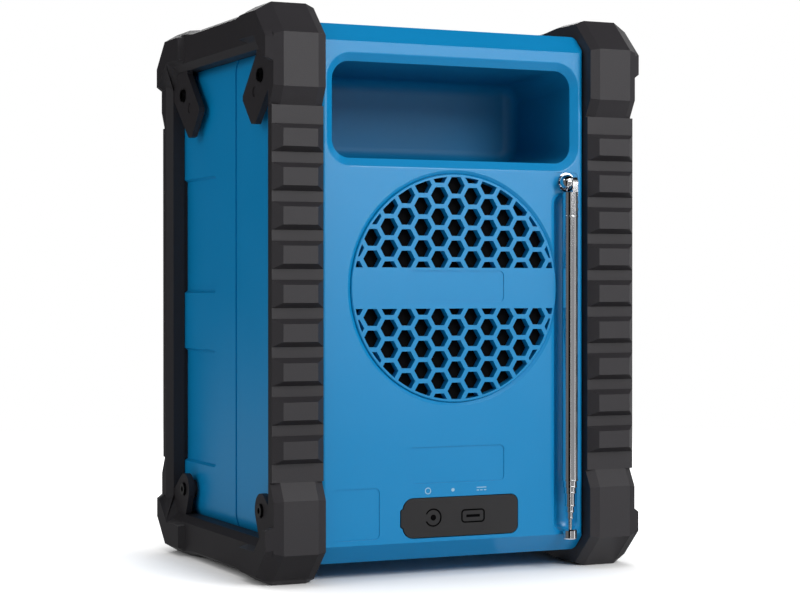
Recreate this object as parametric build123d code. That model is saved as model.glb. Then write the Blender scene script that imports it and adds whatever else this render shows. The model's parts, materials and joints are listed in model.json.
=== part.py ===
from build123d import *
import math
import os

# Jobsite radio: a two-shell housing with a grab recess and a speaker grille in its rear,
# held between two ribbed side guards that stand proud at the corners as feet and bumpers.
#
# All sizes are in millimetres. X runs to the right seen from the front, Y to the rear and
# Z up. The origin is on the ground, at the middle of the footprint.

# ---------------------------------------------------------------- whole object
height = 250.0                  # ground to the top of the corner blocks
depth = 157.4                   # front to rear over the corner blocks

# ---------------------------------------------------------------- housing
housing_width = 159.0           # over the two side faces
core_inset_y = 10.7             # from the corner blocks in to the part that the guards clasp
core_inset_z = 11.2
core_edge_radius = 14.0         # long edges between a side and the top or bottom
panel_width = 128.6             # the proud band between the guards
panel_inset_y = 7.5             # from the corner blocks in to the proud band
panel_inset_z = 7.7
panel_chamfer = 8.2             # slope at the top and bottom of the front and rear
panel_edge_radius = 2.0
wall = 3.0
front_wall = 8.0                # the front is thicker, because the fascia is sunk into it
seam_y = 6.0                    # where the two shells meet
seam_groove_width = 2.0
seam_groove_depth = 0.7
seal_outer_inset = 1.0
seal_inner_inset = 2.0
seal_width = 2.4
seal_clearance = 0.05
side_dent_depth = 1.6           # shallow panels in the sides of the front shell
side_dent_slope = 35.0          # degrees, of the edges round them
side_dent_rear_y = -19.5
side_dent_height = 55.0
side_dent_centre_z = (70.8, 152.5)
side_dent_radius = 6.0

# ---------------------------------------------------------------- grab recess in the rear
grab_height = 41.9              # the pocket just behind the sloped mouth
grab_drop = 45.25               # its middle, below the top of the corner blocks
grab_boss_gap = 2.9             # from its outside to the bosses of the shell screws
grab_depth = 53.2
grab_corner_radius = 8.0
grab_narrowing = 2.8            # each wall comes in this much towards the floor
grab_floor_radius = 6.0
grab_wall = 2.5
mouth_side_slope = 3.3          # each side of the mouth is this much wider than the pocket
mouth_height = 49.0             # where the slope meets the panel's face
mouth_drop = 45.4
mouth_corner_radius = 11.5
mouth_depth = 2.4
mouth_edge_radius = 1.0

# ---------------------------------------------------------------- rear grille
grille_mouth_gap = 0.6          # from the mouth down to the sloped edge round the disc
rear_disc_radius = 50.4
rear_disc_thickness = 4.0
rear_flange_radius = 52.0
rear_flange_thickness = 2.0
rear_flange_gap = 0.3
rear_disc_gap = 0.2
rear_groove_width = 1.5         # sloped edge of the housing round the disc
rear_groove_depth = 0.9
field_radius = 49.2             # the hexagons stop at this circle
hexagon_across = 7.4            # flat to flat
hexagon_pitch = 9.35
band_half_height = 9.0          # plain band across the middle of the rear grille
smallest_cell_area = 3.0
band_dent_width = 47.4
band_dent_height = 13.7
band_dent_depth = 0.4
band_dent_lift = 0.8            # above the middle of the band
dent_radius = 2.2

# ---------------------------------------------------------------- shallow dents in the rear panel
label_dent_depth = 0.35
wide_dent_size = (47.0, 15.9)
wide_dent_centre = (-0.3, 49.6)
square_dent_size = (21.9, 22.3)
square_dent_centre = (48.0, 29.3)

# ---------------------------------------------------------------- port well and its cover
cover_width = 56.4
cover_height = 17.2
cover_centre = (-2.35, 26.5)
cover_pull_radius = 5.0         # rounder end, by the pull lip
cover_hinge_radius = 3.5
cover_thickness = 2.2
cover_proud = 0.2
cover_gap = 0.35
cover_lip_height = 1.5
cover_lip_thickness = 1.6
well_width = 50.0
well_height = 12.4
well_depth = 11.2
well_radius = 3.0
well_wall = 2.0
pull_lip_reach = 1.1            # lip at the free end, for a fingernail
pull_lip_height = 8.0
pull_lip_radius = 1.0
jack_x = 13.5
jack_bore_radius = 1.78
jack_body = (12.0, 14.0, 9.6)   # X, Y, Z
jack_nose_radius = 3.9
usb_x = -16.0
usb_mouth = (9.2, 3.4)
usb_shell_wall = 0.3
usb_length = 7.6
reset_x = -1.5
reset_radius = 1.25
reset_travel = 0.8
reset_gap = 0.2
port_board_size = (50.0, 1.6, 22.0)
port_leg_size = 4.0

# ---------------------------------------------------------------- antenna
mast_inset = 9.0                # from the panel's side edge
mast_stand = 3.8                # from the panel's face to the mast's axis
pivot_drop = 74.7               # below the top of the corner blocks
section_ends = (40.4, 37.5, 34.8, 28.9, 26.2, 23.4, 18.4)   # lower ends, folded down
section_top_drop = 12.3         # upper end of the second section, below the pivot
section_top_step = 2.5          # each thinner section starts this much lower
mast_radius = 3.5
section_wall = 0.35
section_clearance = 0.08
section_collar_length = 0.9
section_collar_proud = 0.16
section_travel = 100.0
mast_top_drop = 4.7
mast_ring_drops = (12.4, 9.1)
mast_ring_width = 1.2
mast_ring_proud = 0.2
tip_radius = 3.2
tip_bottom = 14.1
tip_top = 18.5
swivel_radius = 4.3
swivel_proud = 0.4
swivel_ball_radius = 3.3
swivel_ball_offset = 1.5         # from the mast's axis towards +X
swivel_neck_radius = 2.2
swivel_shank_radius = 3.0
swivel_shank_length = 9.0
swivel_clip_radius = 4.6
swivel_clip_thickness = 1.0
running_clearance = 0.05
lug_radius = 2.4
lug_thickness = 2.7
lug_gap = 0.15
pivot_pin_radius = 1.0
pivot_head_radius = 1.5
pivot_head_thickness = 0.5
channel_half_width = 6.2
channel_depth = 4.0
channel_end_radius = 5.0
channel_lip_half_width = 7.6    # shallow hollow that softens the channel's long edges
channel_lip_depth = 0.7
channel_bottom = 16.6
channel_top_drop = 4.9           # below the pivot
mast_backing = (19.0, 6.5)      # X width and Y thickness of the wall behind the channel
backing_gap = 0.3               # from the top of that wall to the pocket
mount_dent_size = (12.1, 10.2)
mount_dent_overlap = 0.8        # with the channel's top

# ---------------------------------------------------------------- side guards
guard_panel_gap = 0.4           # between a guard and the side edge of the proud band
guard_proud = 8.8               # outer face of the bars, from the housing's side
ear_proud = 11.9                # outer face of the corner ears, likewise
block_inner_run = 4.0           # the corner blocks slope over this much on their inside
block_outer_run = 3.8           # and on their outside
block_outer_slope = 29.5        # degrees
block_inner_slope = 22.0
corner_drop = 14.3              # large chamfer at each corner, along Z
corner_run = 14.8               # and along Y
block_height = 37.3             # corner block down the post
block_length = 34.3             # corner block along the rail
post_recess = 4.3               # posts lie this much inside the blocks
post_ramp = 7.6
rail_recess = 1.6
rail_ramp = 15.9
window_inset_y = 0.9            # opening that shows the side, in from the clasped part
window_bottom = 19.0
window_bevel = 2.9
guard_clearance = 0.25
rib_pitch = 16.57
rib_height = 12.0
rib_face_height = 7.6
rib_recess = 0.4
tab_proud = 5.5                 # outer face of the tabs, from the housing's side
tab_thickness = 2.8
tab_boss_radius = 4.2
upper_screw_inset = (15.6, 30.4)    # in from the clasped part and down from the blocks' top
lower_screw_inset = (15.7, 30.9)    # in from the clasped part and up from the ground
lower_lobe_radius = 7.5
tab_tip_radius = 1.2
tab_dimple_shift = (-8.1, -6.5)     # from the upper screw
tab_dimple_radius = 2.4
tab_dimple_depth = 0.7

# ---------------------------------------------------------------- screws
guard_screw_radius = 1.5
guard_screw_length = 12.0       # below the head
guard_head_radius = 2.9
guard_head_height = 2.4
guard_head_sink = 1.3
guard_head_room = 0.3
hex_key_across = 2.5
hex_key_depth = 1.3
screw_clearance = 0.05
shell_screw_inset = 10.0        # from the housing's side
shell_screw_end = 45.0          # from the ground, and from the top of the corner blocks
shell_screw_radius = 2.0
shell_screw_length = 28.0
shell_head_radius = 3.6
shell_head_height = 3.0
shell_head_y = 20.0
boss_wall = 2.6
head_boss_wall = 1.7
side_boss_length = 12.0

# ---------------------------------------------------------------- front
fascia_width = 116.0
fascia_margin = 13.3            # from the proud band's top and bottom
fascia_radius = 10.0
fascia_thickness = 2.4
fascia_sink = 2.0
fascia_gap = 0.25
row_gaps = (5.0, 5.5, 6.7, 7.7, 12.5)  # below, between and above the rows of the fascia
grille_opening_radius = 49.6
front_grille_radius = 49.3
front_grille_thickness = 1.6
front_field_radius = 46.5
speaker_hole_radius = 46.0
ring_inner_radius = 47.0
ring_outer_radius = 53.0
ring_height = 2.6
control_opening_width = 98.0
control_opening_reach = (13.5, 18.0)    # below the knobs' axes and above the display's middle
display_size = (68.0, 27.0)
display_radius = 3.0
lens_thickness = 2.0
lens_sink = 0.4
module_size = (72.0, 6.0, 31.0)
button_count = 6
button_pitch = 16.0
button_size = (11.6, 7.6)
button_radius = 2.4
button_proud = 2.0
button_travel = 1.2
button_gap = 0.2
button_flange = 1.0
button_flange_thickness = 1.2
button_stem_radius = 2.0
switch_size = (6.0, 3.6, 6.0)
knob_x = 33.0
knob_radius = 15.0
knob_length = 8.6
knob_gap = 0.4
knob_wall = 2.0
knob_flute_count = 24
knob_flute_radius = 1.1
dial_line_width = 1.4
dial_line_length = 7.0
dial_line_depth = 0.5
shaft_radius = 3.0
shaft_reach = 7.0               # how far the shaft goes into the knob
encoder_size = (13.0, 6.0, 13.0)
encoder_bush_radius = 4.5
encoder_bush_length = 5.6
bush_hole_gap = 0.3
control_board_size = (104.0, 1.6)   # X and Y
control_board_depth = 13.0      # its front face, behind the fascia's

# ---------------------------------------------------------------- loudspeaker and radiator
basket_radius = 53.0
basket_flange = 2.2
basket_depth = 24.0
basket_floor_radius = 26.0
basket_wall = 1.4
basket_slot_count = 6
surround_outer_radius = 45.5
surround_seat = 0.8                # how far its outer lip lies on the frame
surround_roll_radius = 2.4
surround_thickness = 0.9
cone_outer_radius = 38.0
cone_inner_radius = 12.8
cone_depth = 14.0
cone_thickness = 0.9
cap_height = 4.5
magnet_radius = 30.0
magnet_thickness = 13.0
speaker_screw_circle = 50.2
speaker_screw_radius = 1.5
speaker_screw_length = 5.0
speaker_head_radius = 2.3
speaker_head_height = 1.6
radiator_frame_depth = 6.0
radiator_step = 3.6                # seat of the surround, below the frame's face
radiator_roll_edge = 48.3
radiator_disc_radius = 34.0
radiator_disc_thickness = 2.0
cloth_thickness = 0.5

# ---------------------------------------------------------------- electronics
main_board_size = (120.0, 1.6, 96.0)
main_board_y = -14.0
main_board_z = 112.0
post_radius = 3.0
post_inset = 4.0
cell_radius = 9.2
cell_length = 65.0
cell_gap = 0.4
cell_board_gap = 7.4            # from the holder to the port board
holder_wall = 2.0
holder_height = 24.0

# ---------------------------------------------------------------- places worked out from the sizes
middle_z = height / 2
core_depth = depth - 2 * core_inset_y
core_height = height - 2 * core_inset_z
panel_depth = depth - 2 * panel_inset_y
panel_height = height - 2 * panel_inset_z
rear_face = panel_depth / 2
front_face = -panel_depth / 2
side_face = housing_width / 2
rear_inner = rear_face - wall
front_inner = front_face + front_wall
recess_floor = front_face + fascia_sink + fascia_thickness
fascia_face = front_face + fascia_sink
inner_bottom = middle_z - panel_height / 2 + wall
well_floor = rear_face - well_depth

shell_screw_x = side_face - shell_screw_inset
head_bore_radius = shell_head_radius + guard_head_room
grab_width = 2 * (shell_screw_x - head_bore_radius - head_boss_wall - grab_boss_gap - grab_wall)
grab_centre_z = height - grab_drop
mouth_width = grab_width + 2 * mouth_side_slope
mouth_centre_z = height - mouth_drop
disc_edge_radius = rear_disc_radius + rear_disc_gap + rear_groove_width
grille_centre_z = mouth_centre_z - mouth_height / 2 - grille_mouth_gap - disc_edge_radius

mast_x = mast_inset - panel_width / 2
mast_y = rear_face + mast_stand
pivot_z = height - pivot_drop
section_top = pivot_z - section_top_drop
mast_top = pivot_z - mast_top_drop
channel_top = pivot_z - channel_top_drop

guard_inner_x = panel_width / 2 + guard_panel_gap
guard_face_x = side_face + guard_proud
ear_face_x = side_face + ear_proud
block_inner_x = guard_inner_x + block_inner_run
block_outer_x = guard_face_x - block_outer_run
window_half_depth = core_depth / 2 - window_inset_y
window_top = height - window_bottom
post_length = height - 2 * (block_height + post_ramp)
rib_count = int((post_length - rib_height) / rib_pitch) + 1
tab_face_x = side_face + tab_proud
upper_screw = (core_depth / 2 - upper_screw_inset[0], height - upper_screw_inset[1])     # Y and Z
lower_screw = (core_depth / 2 - lower_screw_inset[0], lower_screw_inset[1])

# The rows of the fascia, from below: loudspeaker, knobs, buttons and display. What height they
# leave free lies between them, shared in the ratio of the row gaps.
fascia_height = panel_height - 2 * fascia_margin
fascia_bottom = middle_z - fascia_height / 2
row_heights = (2 * ring_outer_radius, 2 * knob_radius, button_size[1], display_size[1])
row_share = (fascia_height - sum(row_heights)) / sum(row_gaps)


def row_middle(index):
    """Z of the middle of one row of the fascia."""
    below = sum(row_heights[:index]) + row_share * sum(row_gaps[:index + 1])
    return fascia_bottom + below + row_heights[index] / 2


speaker_z, knob_z, button_z, display_z = (row_middle(index) for index in range(4))
control_bottom = knob_z - control_opening_reach[0]
control_height = display_z + control_opening_reach[1] - control_bottom
control_opening_z = control_bottom + control_height / 2
control_board_y = fascia_face + control_board_depth
port_board_back = well_floor - well_wall - jack_body[1] - port_board_size[1]
cell_y = port_board_back - cell_board_gap - holder_wall - 2 * cell_radius - cell_gap * 1.5


# ---------------------------------------------------------------- plain helpers
def block(x_low, x_high, y_low, y_high, z_low, z_high):
    """Box between two corners."""
    centre = Pos((x_low + x_high) / 2, (y_low + y_high) / 2, (z_low + z_high) / 2)
    return centre * Box(x_high - x_low, y_high - y_low, z_high - z_low)


def prism_x(outline, x_low, x_high):
    """Outline drawn in Y and Z, carried along X."""
    return extrude(Plane.YZ.offset(x_low) * outline, x_high - x_low)


def prism_y(outline, y_low, y_high):
    """Outline drawn in X and Z, carried along Y."""
    return extrude(Plane.XZ.offset(-y_high) * outline, y_high - y_low)


def prism_z(outline, z_low, z_high):
    """Outline drawn in X and Y, carried along Z."""
    return extrude(Plane.XY.offset(z_low) * outline, z_high - z_low)


def rod_x(radius, x_low, x_high, y, z):
    return prism_x(Pos(y, z) * Circle(radius), x_low, x_high)


def rod_y(radius, y_low, y_high, x, z):
    return prism_y(Pos(x, z) * Circle(radius), y_low, y_high)


def rod_z(radius, z_low, z_high, x, y):
    return prism_z(Pos(x, y) * Circle(radius), z_low, z_high)


def pad(width, tall, radius, x, z):
    """Rounded rectangle in X and Z."""
    return Pos(x, z) * RectangleRounded(width, tall, radius)


def chamfered(width, tall, cut):
    """Rectangle about the middle height, with its four corners cut at 45 degrees."""
    shape = Rectangle(width, tall)
    return Pos(0, middle_z) * chamfer(shape.vertices(), cut)


def turned_y(points, x, z):
    """Solid of revolution about an axis along Y. points are (radius, y), in order."""
    outline = Plane.XY * Polygon(*points, align=None)
    return Pos(x, 0, z) * revolve(outline, Axis.Y)


def with_solids(parts):
    """One node that holds separate pieces."""
    return Compound(children=list(parts))


def inset_cut(cut, inset):
    """Size of a 45 degree chamfer after every face has moved in by inset."""
    return cut - inset * (2 - math.sqrt(2))


# ---------------------------------------------------------------- housing
def core_form(inset):
    """The part of the housing that the guards clasp, with every face moved in by inset."""
    ends = RectangleRounded(
        housing_width - 2 * inset, core_height - 2 * inset, core_edge_radius - inset
    )
    side = chamfered(
        core_depth - 2 * inset, core_height - 2 * inset, inset_cut(panel_chamfer, inset)
    )
    along_y = prism_y(Pos(0, middle_z) * ends, -depth / 2, depth / 2)
    return along_y & prism_x(side, -side_face + inset, side_face - inset)


def panel_form(inset):
    """The proud band of the housing between the guards, with every face moved in by inset."""
    half = panel_width / 2 - inset
    side = chamfered(
        panel_depth - 2 * inset, panel_height - 2 * inset, inset_cut(panel_chamfer, inset)
    )
    band = prism_x(side, -half, half)
    if inset == 0:
        plan = RectangleRounded(panel_width, panel_depth, panel_edge_radius)
        front = RectangleRounded(panel_width, panel_height, panel_edge_radius)
        band &= prism_z(plan, 0, height)
        band &= prism_y(Pos(0, middle_z) * front, -depth / 2, depth / 2)
    return band


def housing_form(inset):
    return core_form(inset) + panel_form(inset)


def slice_y(solid, y_low, y_high):
    reach = housing_width
    return solid & block(-reach, reach, y_low, y_high, -1, height + 1)


def ring_between(outer_inset, inner_inset, half_width):
    """Closed band that follows the housing's outline at the seam."""
    band = housing_form(outer_inset) - housing_form(inner_inset)
    return slice_y(band, seam_y - half_width, seam_y + half_width)


def seam_cut():
    groove = ring_between(0, seam_groove_depth, seam_groove_width / 2)
    seat = ring_between(
        seal_outer_inset - seal_clearance, seal_inner_inset + seal_clearance, seal_width / 2
    )
    return groove + seat


def side_screw_places():
    """Y and Z of the guard screws on one side."""
    return [(sign * y, z) for y, z in (upper_screw, lower_screw) for sign in (1, -1)]


def shell_screw_places():
    heights = (shell_screw_end, height - shell_screw_end)
    return [(sign * shell_screw_x, z) for z in heights for sign in (1, -1)]


def add_side_bosses(shell, wanted_sign):
    """Bosses inside the two sides that take the guard screws of one shell."""
    hole = guard_screw_radius + screw_clearance
    inner = side_face - side_boss_length
    for side in (1, -1):
        for y, z in side_screw_places():
            if y * wanted_sign < 0:
                continue
            low, high = sorted((side * inner, side * (side_face - wall / 2)))
            shell += rod_x(hole + boss_wall, low, high, y, z)
            low, high = sorted((side * (inner - 1), side * (side_face + 1)))
            shell -= rod_x(hole, low, high, y, z)
    return shell


def side_dents():
    """Shallow rounded panels that run forward from behind the guard's front post."""
    cuts = []
    length = core_depth / 2 + side_dent_rear_y + side_dent_radius
    centre_y = side_dent_rear_y - length / 2
    for z in side_dent_centre_z:
        outline = Pos(centre_y, z) * RectangleRounded(length, side_dent_height, side_dent_radius)
        cut = extrude(
            Plane.YZ.offset(side_face) * outline, side_dent_depth, dir=(-1, 0, 0),
            taper=side_dent_slope,
        )
        cuts += [cut, mirror(cut, Plane.YZ)]
    return cuts


def make_front_shell():
    cavity = slice_y(housing_form(wall), front_inner, seam_y + 1)
    shell = slice_y(housing_form(0), front_face - 1, seam_y) - cavity - seam_cut()
    for x, z in shell_screw_places():
        shell += rod_y(shell_screw_radius + boss_wall, front_inner - 1, seam_y, x, z)
    shell = add_side_bosses(shell, -1)
    pilot = shell_screw_radius + screw_clearance
    tip_y = shell_head_y - shell_screw_length
    for x, z in shell_screw_places():
        shell -= rod_y(pilot, tip_y - 2, seam_y + 1, x, z)
    for x, z in main_board_posts():
        board_front = main_board_y - main_board_size[1]
        shell += rod_y(post_radius, front_inner - 1, board_front, x, z)
    shell -= prism_y(fascia_outline(fascia_gap), front_face - 1, recess_floor)
    shell -= rod_y(speaker_hole_radius, front_face, front_inner + 1, 0, speaker_z)
    window = pad(
        control_opening_width, control_height, fascia_radius / 2, 0, control_opening_z
    )
    shell -= prism_y(window, front_face, front_inner + 1)
    for x, z in speaker_screw_places(speaker_z):
        shell -= rod_y(
            speaker_screw_radius + screw_clearance,
            front_inner - speaker_screw_length + basket_flange, front_inner + 1, x, z,
        )
    return shell - side_dents()


def make_rear_shell():
    cavity = slice_y(housing_form(wall), seam_y - 1, rear_face)
    shell = slice_y(housing_form(0), seam_y, rear_face + 1) - cavity
    shell = open_grab_mouth(shell) - seam_cut()
    shell += block(
        mast_x - mast_backing[0] / 2, mast_x + mast_backing[0] / 2,
        rear_face - mast_backing[1], rear_face - wall / 2,
        channel_bottom - wall, grab_centre_z - grab_height / 2 - grab_wall - backing_gap,
    ) & housing_form(wall / 2)
    for x, z in shell_screw_places():
        boss = head_bore_radius + head_boss_wall
        shell += rod_y(boss, seam_y, core_depth / 2 - wall / 2, x, z)
    shell = add_side_bosses(shell, 1)
    for x, z in shell_screw_places():
        shell -= rod_y(head_bore_radius, shell_head_y, depth / 2, x, z)
        shell -= rod_y(shell_screw_radius + screw_clearance, seam_y - 1, shell_head_y, x, z)
    relief = rear_flange_radius + rear_flange_gap
    relief_depth = rear_flange_thickness + radiator_frame_depth + 1
    shell -= rod_y(relief, rear_inner - relief_depth, rear_inner, 0, grille_centre_z)
    shell -= cover_seat() + well_hollow()
    shell -= rear_disc_opening()
    shell -= antenna_channel()
    shell -= label_dents()
    shell -= rod_y(
        swivel_shank_radius + running_clearance, rear_face - mast_backing[1] - 1,
        rear_face + 1, mast_x, pivot_z,
    )
    return shell


def mouth_outline():
    return pad(mouth_width, mouth_height, mouth_corner_radius, 0, mouth_centre_z)


def grab_outline(grow):
    return pad(
        grab_width + 2 * grow, grab_height + 2 * grow, grab_corner_radius + grow,
        0, grab_centre_z,
    )


def open_grab_mouth(shell):
    """Cuts the sloped mouth of the grab recess and the hole behind it, and rounds its rim."""
    slope_end = rear_face - mouth_depth
    shell -= loft([
        Plane.XZ.offset(-slope_end) * grab_outline(0),
        Plane.XZ.offset(-rear_face) * mouth_outline(),
    ])
    shell -= prism_y(grab_outline(0), rear_inner - 1, slope_end)
    rim = (Plane.XZ.offset(-rear_face) * mouth_outline()).edges()
    centres = [edge.center() for edge in rim]
    picked = [
        edge for edge in shell.edges()
        if any((edge.center() - centre).length < 0.01 for centre in centres)
    ]
    return fillet(picked, mouth_edge_radius)


def grab_hollow(grow):
    """The pocket behind the panel, tapered to its rounded floor, or its outside when grown."""
    floor_y = rear_face - grab_depth - grow
    end = pad(
        grab_width - 2 * grab_narrowing + 2 * grow, grab_height - 2 * grab_narrowing + 2 * grow,
        grab_corner_radius + grow, 0, grab_centre_z,
    )
    form = loft([
        Plane.XZ.offset(-floor_y) * end, Plane.XZ.offset(-rear_inner) * grab_outline(grow)
    ])
    return fillet(form.faces().sort_by(Axis.Y)[0].edges(), grab_floor_radius + grow)


def make_grab_pocket():
    """Moulded pocket welded to the inside of the rear panel: the fingers' room."""
    return grab_hollow(grab_wall) - grab_hollow(0)


# ---------------------------------------------------------------- rear grille
def hexagon_field(radius, band):
    """Hexagonal holes inside a circle, with a plain band of half height band across it.

    Without a band one hexagon lies on the centre. Small slivers at the edge are left solid.
    """
    corner = hexagon_across / math.sqrt(3)
    column_pitch = hexagon_pitch * math.sqrt(3) / 2
    columns = int(radius / column_pitch) + 1
    cell = RegularPolygon(corner, 6)
    region = Circle(radius)
    if band:
        region -= Rectangle(3 * radius, 2 * band)
    first = band + hexagon_across / 2
    cells = []
    for column in range(-columns, columns + 1):
        x = column * column_pitch
        shift = 0 if column % 2 else hexagon_pitch / 2
        rows = range(-1, int(radius / hexagon_pitch) + 2)
        if band:
            heights = [first + shift + row * hexagon_pitch for row in rows]
            heights += [-value for value in heights]
        else:
            heights = [shift + row * hexagon_pitch for row in range(-rows[-1] - 1, rows[-1] + 1)]
        for z in heights:
            if math.hypot(x, z) > radius + corner or abs(z) < band - hexagon_across / 2:
                continue
            clipped = (Pos(x, z) * cell) & region
            cells += [face for face in clipped.faces() if face.area > smallest_cell_area]
    return cells


def make_rear_grille():
    disc_back = rear_face - rear_disc_thickness
    flange_front = rear_inner
    body = rod_y(rear_disc_radius, flange_front - rear_flange_thickness, rear_face, 0, 0)
    edge = body.edges().filter_by(GeomType.CIRCLE).sort_by(Axis.Y)[-1]
    body = chamfer(edge, rear_disc_gap * 2)
    body += rod_y(rear_flange_radius, flange_front - rear_flange_thickness, flange_front, 0, 0)
    body -= rod_y(field_radius, flange_front - rear_flange_thickness - 1, disc_back, 0, 0)
    cells = hexagon_field(field_radius, band_half_height)
    body -= [prism_y(cell, disc_back - 1, rear_face + 1) for cell in cells]
    dent = pad(band_dent_width, band_dent_height, dent_radius, 0, band_dent_lift)
    body -= prism_y(dent, rear_face - band_dent_depth, rear_face + 1)
    return Pos(0, 0, grille_centre_z) * body


def rear_disc_opening():
    """Round hole for the rear grille, with the sloped edge that shows as a ring."""
    hole = rear_disc_radius + rear_disc_gap
    points = [
        (0, rear_inner - 1), (hole, rear_inner - 1), (hole, rear_face - rear_groove_depth),
        (disc_edge_radius, rear_face), (disc_edge_radius, rear_face + 1),
        (0, rear_face + 1),
    ]
    return turned_y(points, 0, grille_centre_z)


def label_dents():
    """Two shallow dents, left bare."""
    wide = pad(*wide_dent_size, dent_radius, *wide_dent_centre)
    square = pad(*square_dent_size, dent_radius, *square_dent_centre)
    floor_y = rear_face - label_dent_depth
    return prism_y(wide, floor_y, rear_face + 1) + prism_y(square, floor_y, rear_face + 1)


# ---------------------------------------------------------------- port well
def cover_outline(grow):
    """Rubber cover in X and Z: rounder at its free end, towards +X, with a pull lip there."""
    right = cover_centre[0] + cover_width / 2 + grow
    left = cover_centre[0] - cover_width / 2 - grow
    tall = cover_height + 2 * grow
    shape = Pos((left + right) / 2, cover_centre[1]) * Rectangle(right - left, tall)
    corners = shape.vertices().sort_by(Axis.X)
    shape = fillet(corners[2:], cover_pull_radius + grow)
    corners = shape.vertices().sort_by(Axis.X)[:2]
    shape = fillet(corners, cover_hinge_radius + grow)
    reach = 2 * (pull_lip_reach + pull_lip_radius + grow)
    return shape + pad(
        reach, pull_lip_height + 2 * grow, pull_lip_radius + grow,
        right - grow - pull_lip_radius, cover_centre[1],
    )


def well_hollow():
    """Space behind the cover, from the panel's face to the floor of the tray."""
    return prism_y(
        pad(well_width, well_height, well_radius, *cover_centre), well_floor, rear_face
    )


def port_holes():
    """Holes in the floor of the tray for the jack, the reset button and the socket."""
    low, high = well_floor - well_wall - 1, well_floor + 1
    z = cover_centre[1]
    mouth = (usb_mouth[0] + 2 * usb_shell_wall, usb_mouth[1] + 2 * usb_shell_wall)
    slot = pad(mouth[0] + 0.2, mouth[1] + 0.2, mouth[1] / 2, usb_x, z)
    holes = prism_y(slot, low, high)
    holes += rod_y(jack_nose_radius + 0.1, low, high, jack_x, z)
    holes += rod_y(reset_radius + reset_gap, low, high, reset_x, z)
    return holes


def cover_seat():
    """Step in the panel that the cover lies in."""
    seat_floor = rear_face + cover_proud - cover_thickness
    return prism_y(cover_outline(cover_gap), seat_floor, rear_face + 1)


def tray_outline():
    return pad(
        well_width + 2 * well_wall, well_height + 2 * well_wall, well_radius + well_wall,
        *cover_centre,
    )


def make_port_tray():
    """Low walls round the well, welded to the inside of the rear panel."""
    return prism_y(tray_outline(), well_floor, rear_inner) - well_hollow()


def make_port_floor():
    """Plate welded to the tray's walls, with the port holes."""
    return prism_y(tray_outline(), well_floor - well_wall, well_floor) - port_holes()


def make_port_cover():
    outer_y = rear_face + cover_proud
    inner_y = outer_y - cover_thickness
    plate = prism_y(cover_outline(0), inner_y, outer_y)
    lip_size = (well_width - 2 * cover_gap, well_height - 2 * cover_gap)
    lip = pad(*lip_size, well_radius - cover_gap, *cover_centre)
    hollow = pad(
        lip_size[0] - 2 * cover_lip_thickness, lip_size[1] - 2 * cover_lip_thickness,
        well_radius - cover_gap - cover_lip_thickness / 2, *cover_centre,
    )
    return plate + prism_y(lip - hollow, inner_y - cover_lip_height, inner_y + 0.1)


def make_aux_jack():
    z = cover_centre[1]
    body_front = well_floor - well_wall
    body = block(
        jack_x - jack_body[0] / 2, jack_x + jack_body[0] / 2,
        body_front - jack_body[1], body_front, z - jack_body[2] / 2, z + jack_body[2] / 2,
    )
    body += rod_y(jack_nose_radius, body_front - 1, well_floor, jack_x, z)
    return body - rod_y(jack_bore_radius, body_front - jack_body[1] + 1, well_floor + 1, jack_x, z)


def make_usb_socket():
    z = cover_centre[1]
    outer = (usb_mouth[0] + 2 * usb_shell_wall, usb_mouth[1] + 2 * usb_shell_wall)
    shell = prism_y(pad(*outer, outer[1] / 2 - 0.01, usb_x, z), well_floor - usb_length, well_floor)
    mouth = pad(*usb_mouth, usb_mouth[1] / 2 - 0.01, usb_x, z)
    shell -= prism_y(mouth, well_floor - usb_length + 1, well_floor + 1)
    tongue = block(usb_x - 3.3, usb_x + 3.3, well_floor - usb_length + 0.5, well_floor - 0.8,
                   z - 0.35, z + 0.35)
    return shell + tongue


def reset_rest_y():
    """Outer end of the reset button, level with the floor of the well."""
    return well_floor


def make_reset_button():
    z = cover_centre[1]
    stem = rod_y(reset_radius, well_floor - well_wall - 2.0, reset_rest_y(), reset_x, z)
    foot_top = well_floor - well_wall - reset_gap
    return stem + rod_y(reset_radius + 0.9, foot_top - 1.0, foot_top, reset_x, z)


def make_port_board():
    z = cover_centre[1]
    front_y = well_floor - well_wall - jack_body[1]
    size = port_board_size
    board = block(
        cover_centre[0] - size[0] / 2, cover_centre[0] + size[0] / 2,
        front_y - size[1], front_y, z - size[2] / 2, z + size[2] / 2,
    )
    switch_top = well_floor - well_wall - 2.0 - reset_travel - 0.15
    board += block(reset_x - 3, reset_x + 3, front_y - 0.1, switch_top, z - 3, z + 3)
    riser_top = well_floor - usb_length
    board += block(usb_x - 4.5, usb_x + 4.5, front_y - 0.1, riser_top, z - 2.2, z + 2.2)
    half = size[0] / 2 - port_leg_size / 2
    low = z - size[2] / 2
    for x in (cover_centre[0] - half, cover_centre[0] + half):
        board += block(
            x - port_leg_size / 2, x + port_leg_size / 2, front_y - 0.1,
            well_floor - well_wall, low, low + port_leg_size,
        )
    return board


# ---------------------------------------------------------------- antenna
def section_radius(index):
    return mast_radius - index * (section_wall + section_clearance)


def make_section(index):
    """One telescopic tube, folded into the one before it. The last is a solid rod."""
    outer = section_radius(index)
    low = section_ends[index]
    top = mast_top if index == 0 else section_top - (index - 1) * section_top_step
    tube = rod_z(outer, low, top, mast_x, mast_y)
    last = index == len(section_ends) - 1
    if not last:
        tube += rod_z(
            outer + section_collar_proud, low, low + section_collar_length, mast_x, mast_y
        )
        bore_top = section_top + 1.5 - index * section_top_step
        tube -= rod_z(outer - section_wall, low - 1, bore_top, mast_x, mast_y)
    return tube


def lug_x():
    """X ranges of the base's lug and of the mast's lug, side by side on the pivot pin."""
    middle = mast_x + lug_gap / 2
    return (middle, middle + lug_thickness), (middle - lug_gap - lug_thickness, middle - lug_gap)


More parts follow.
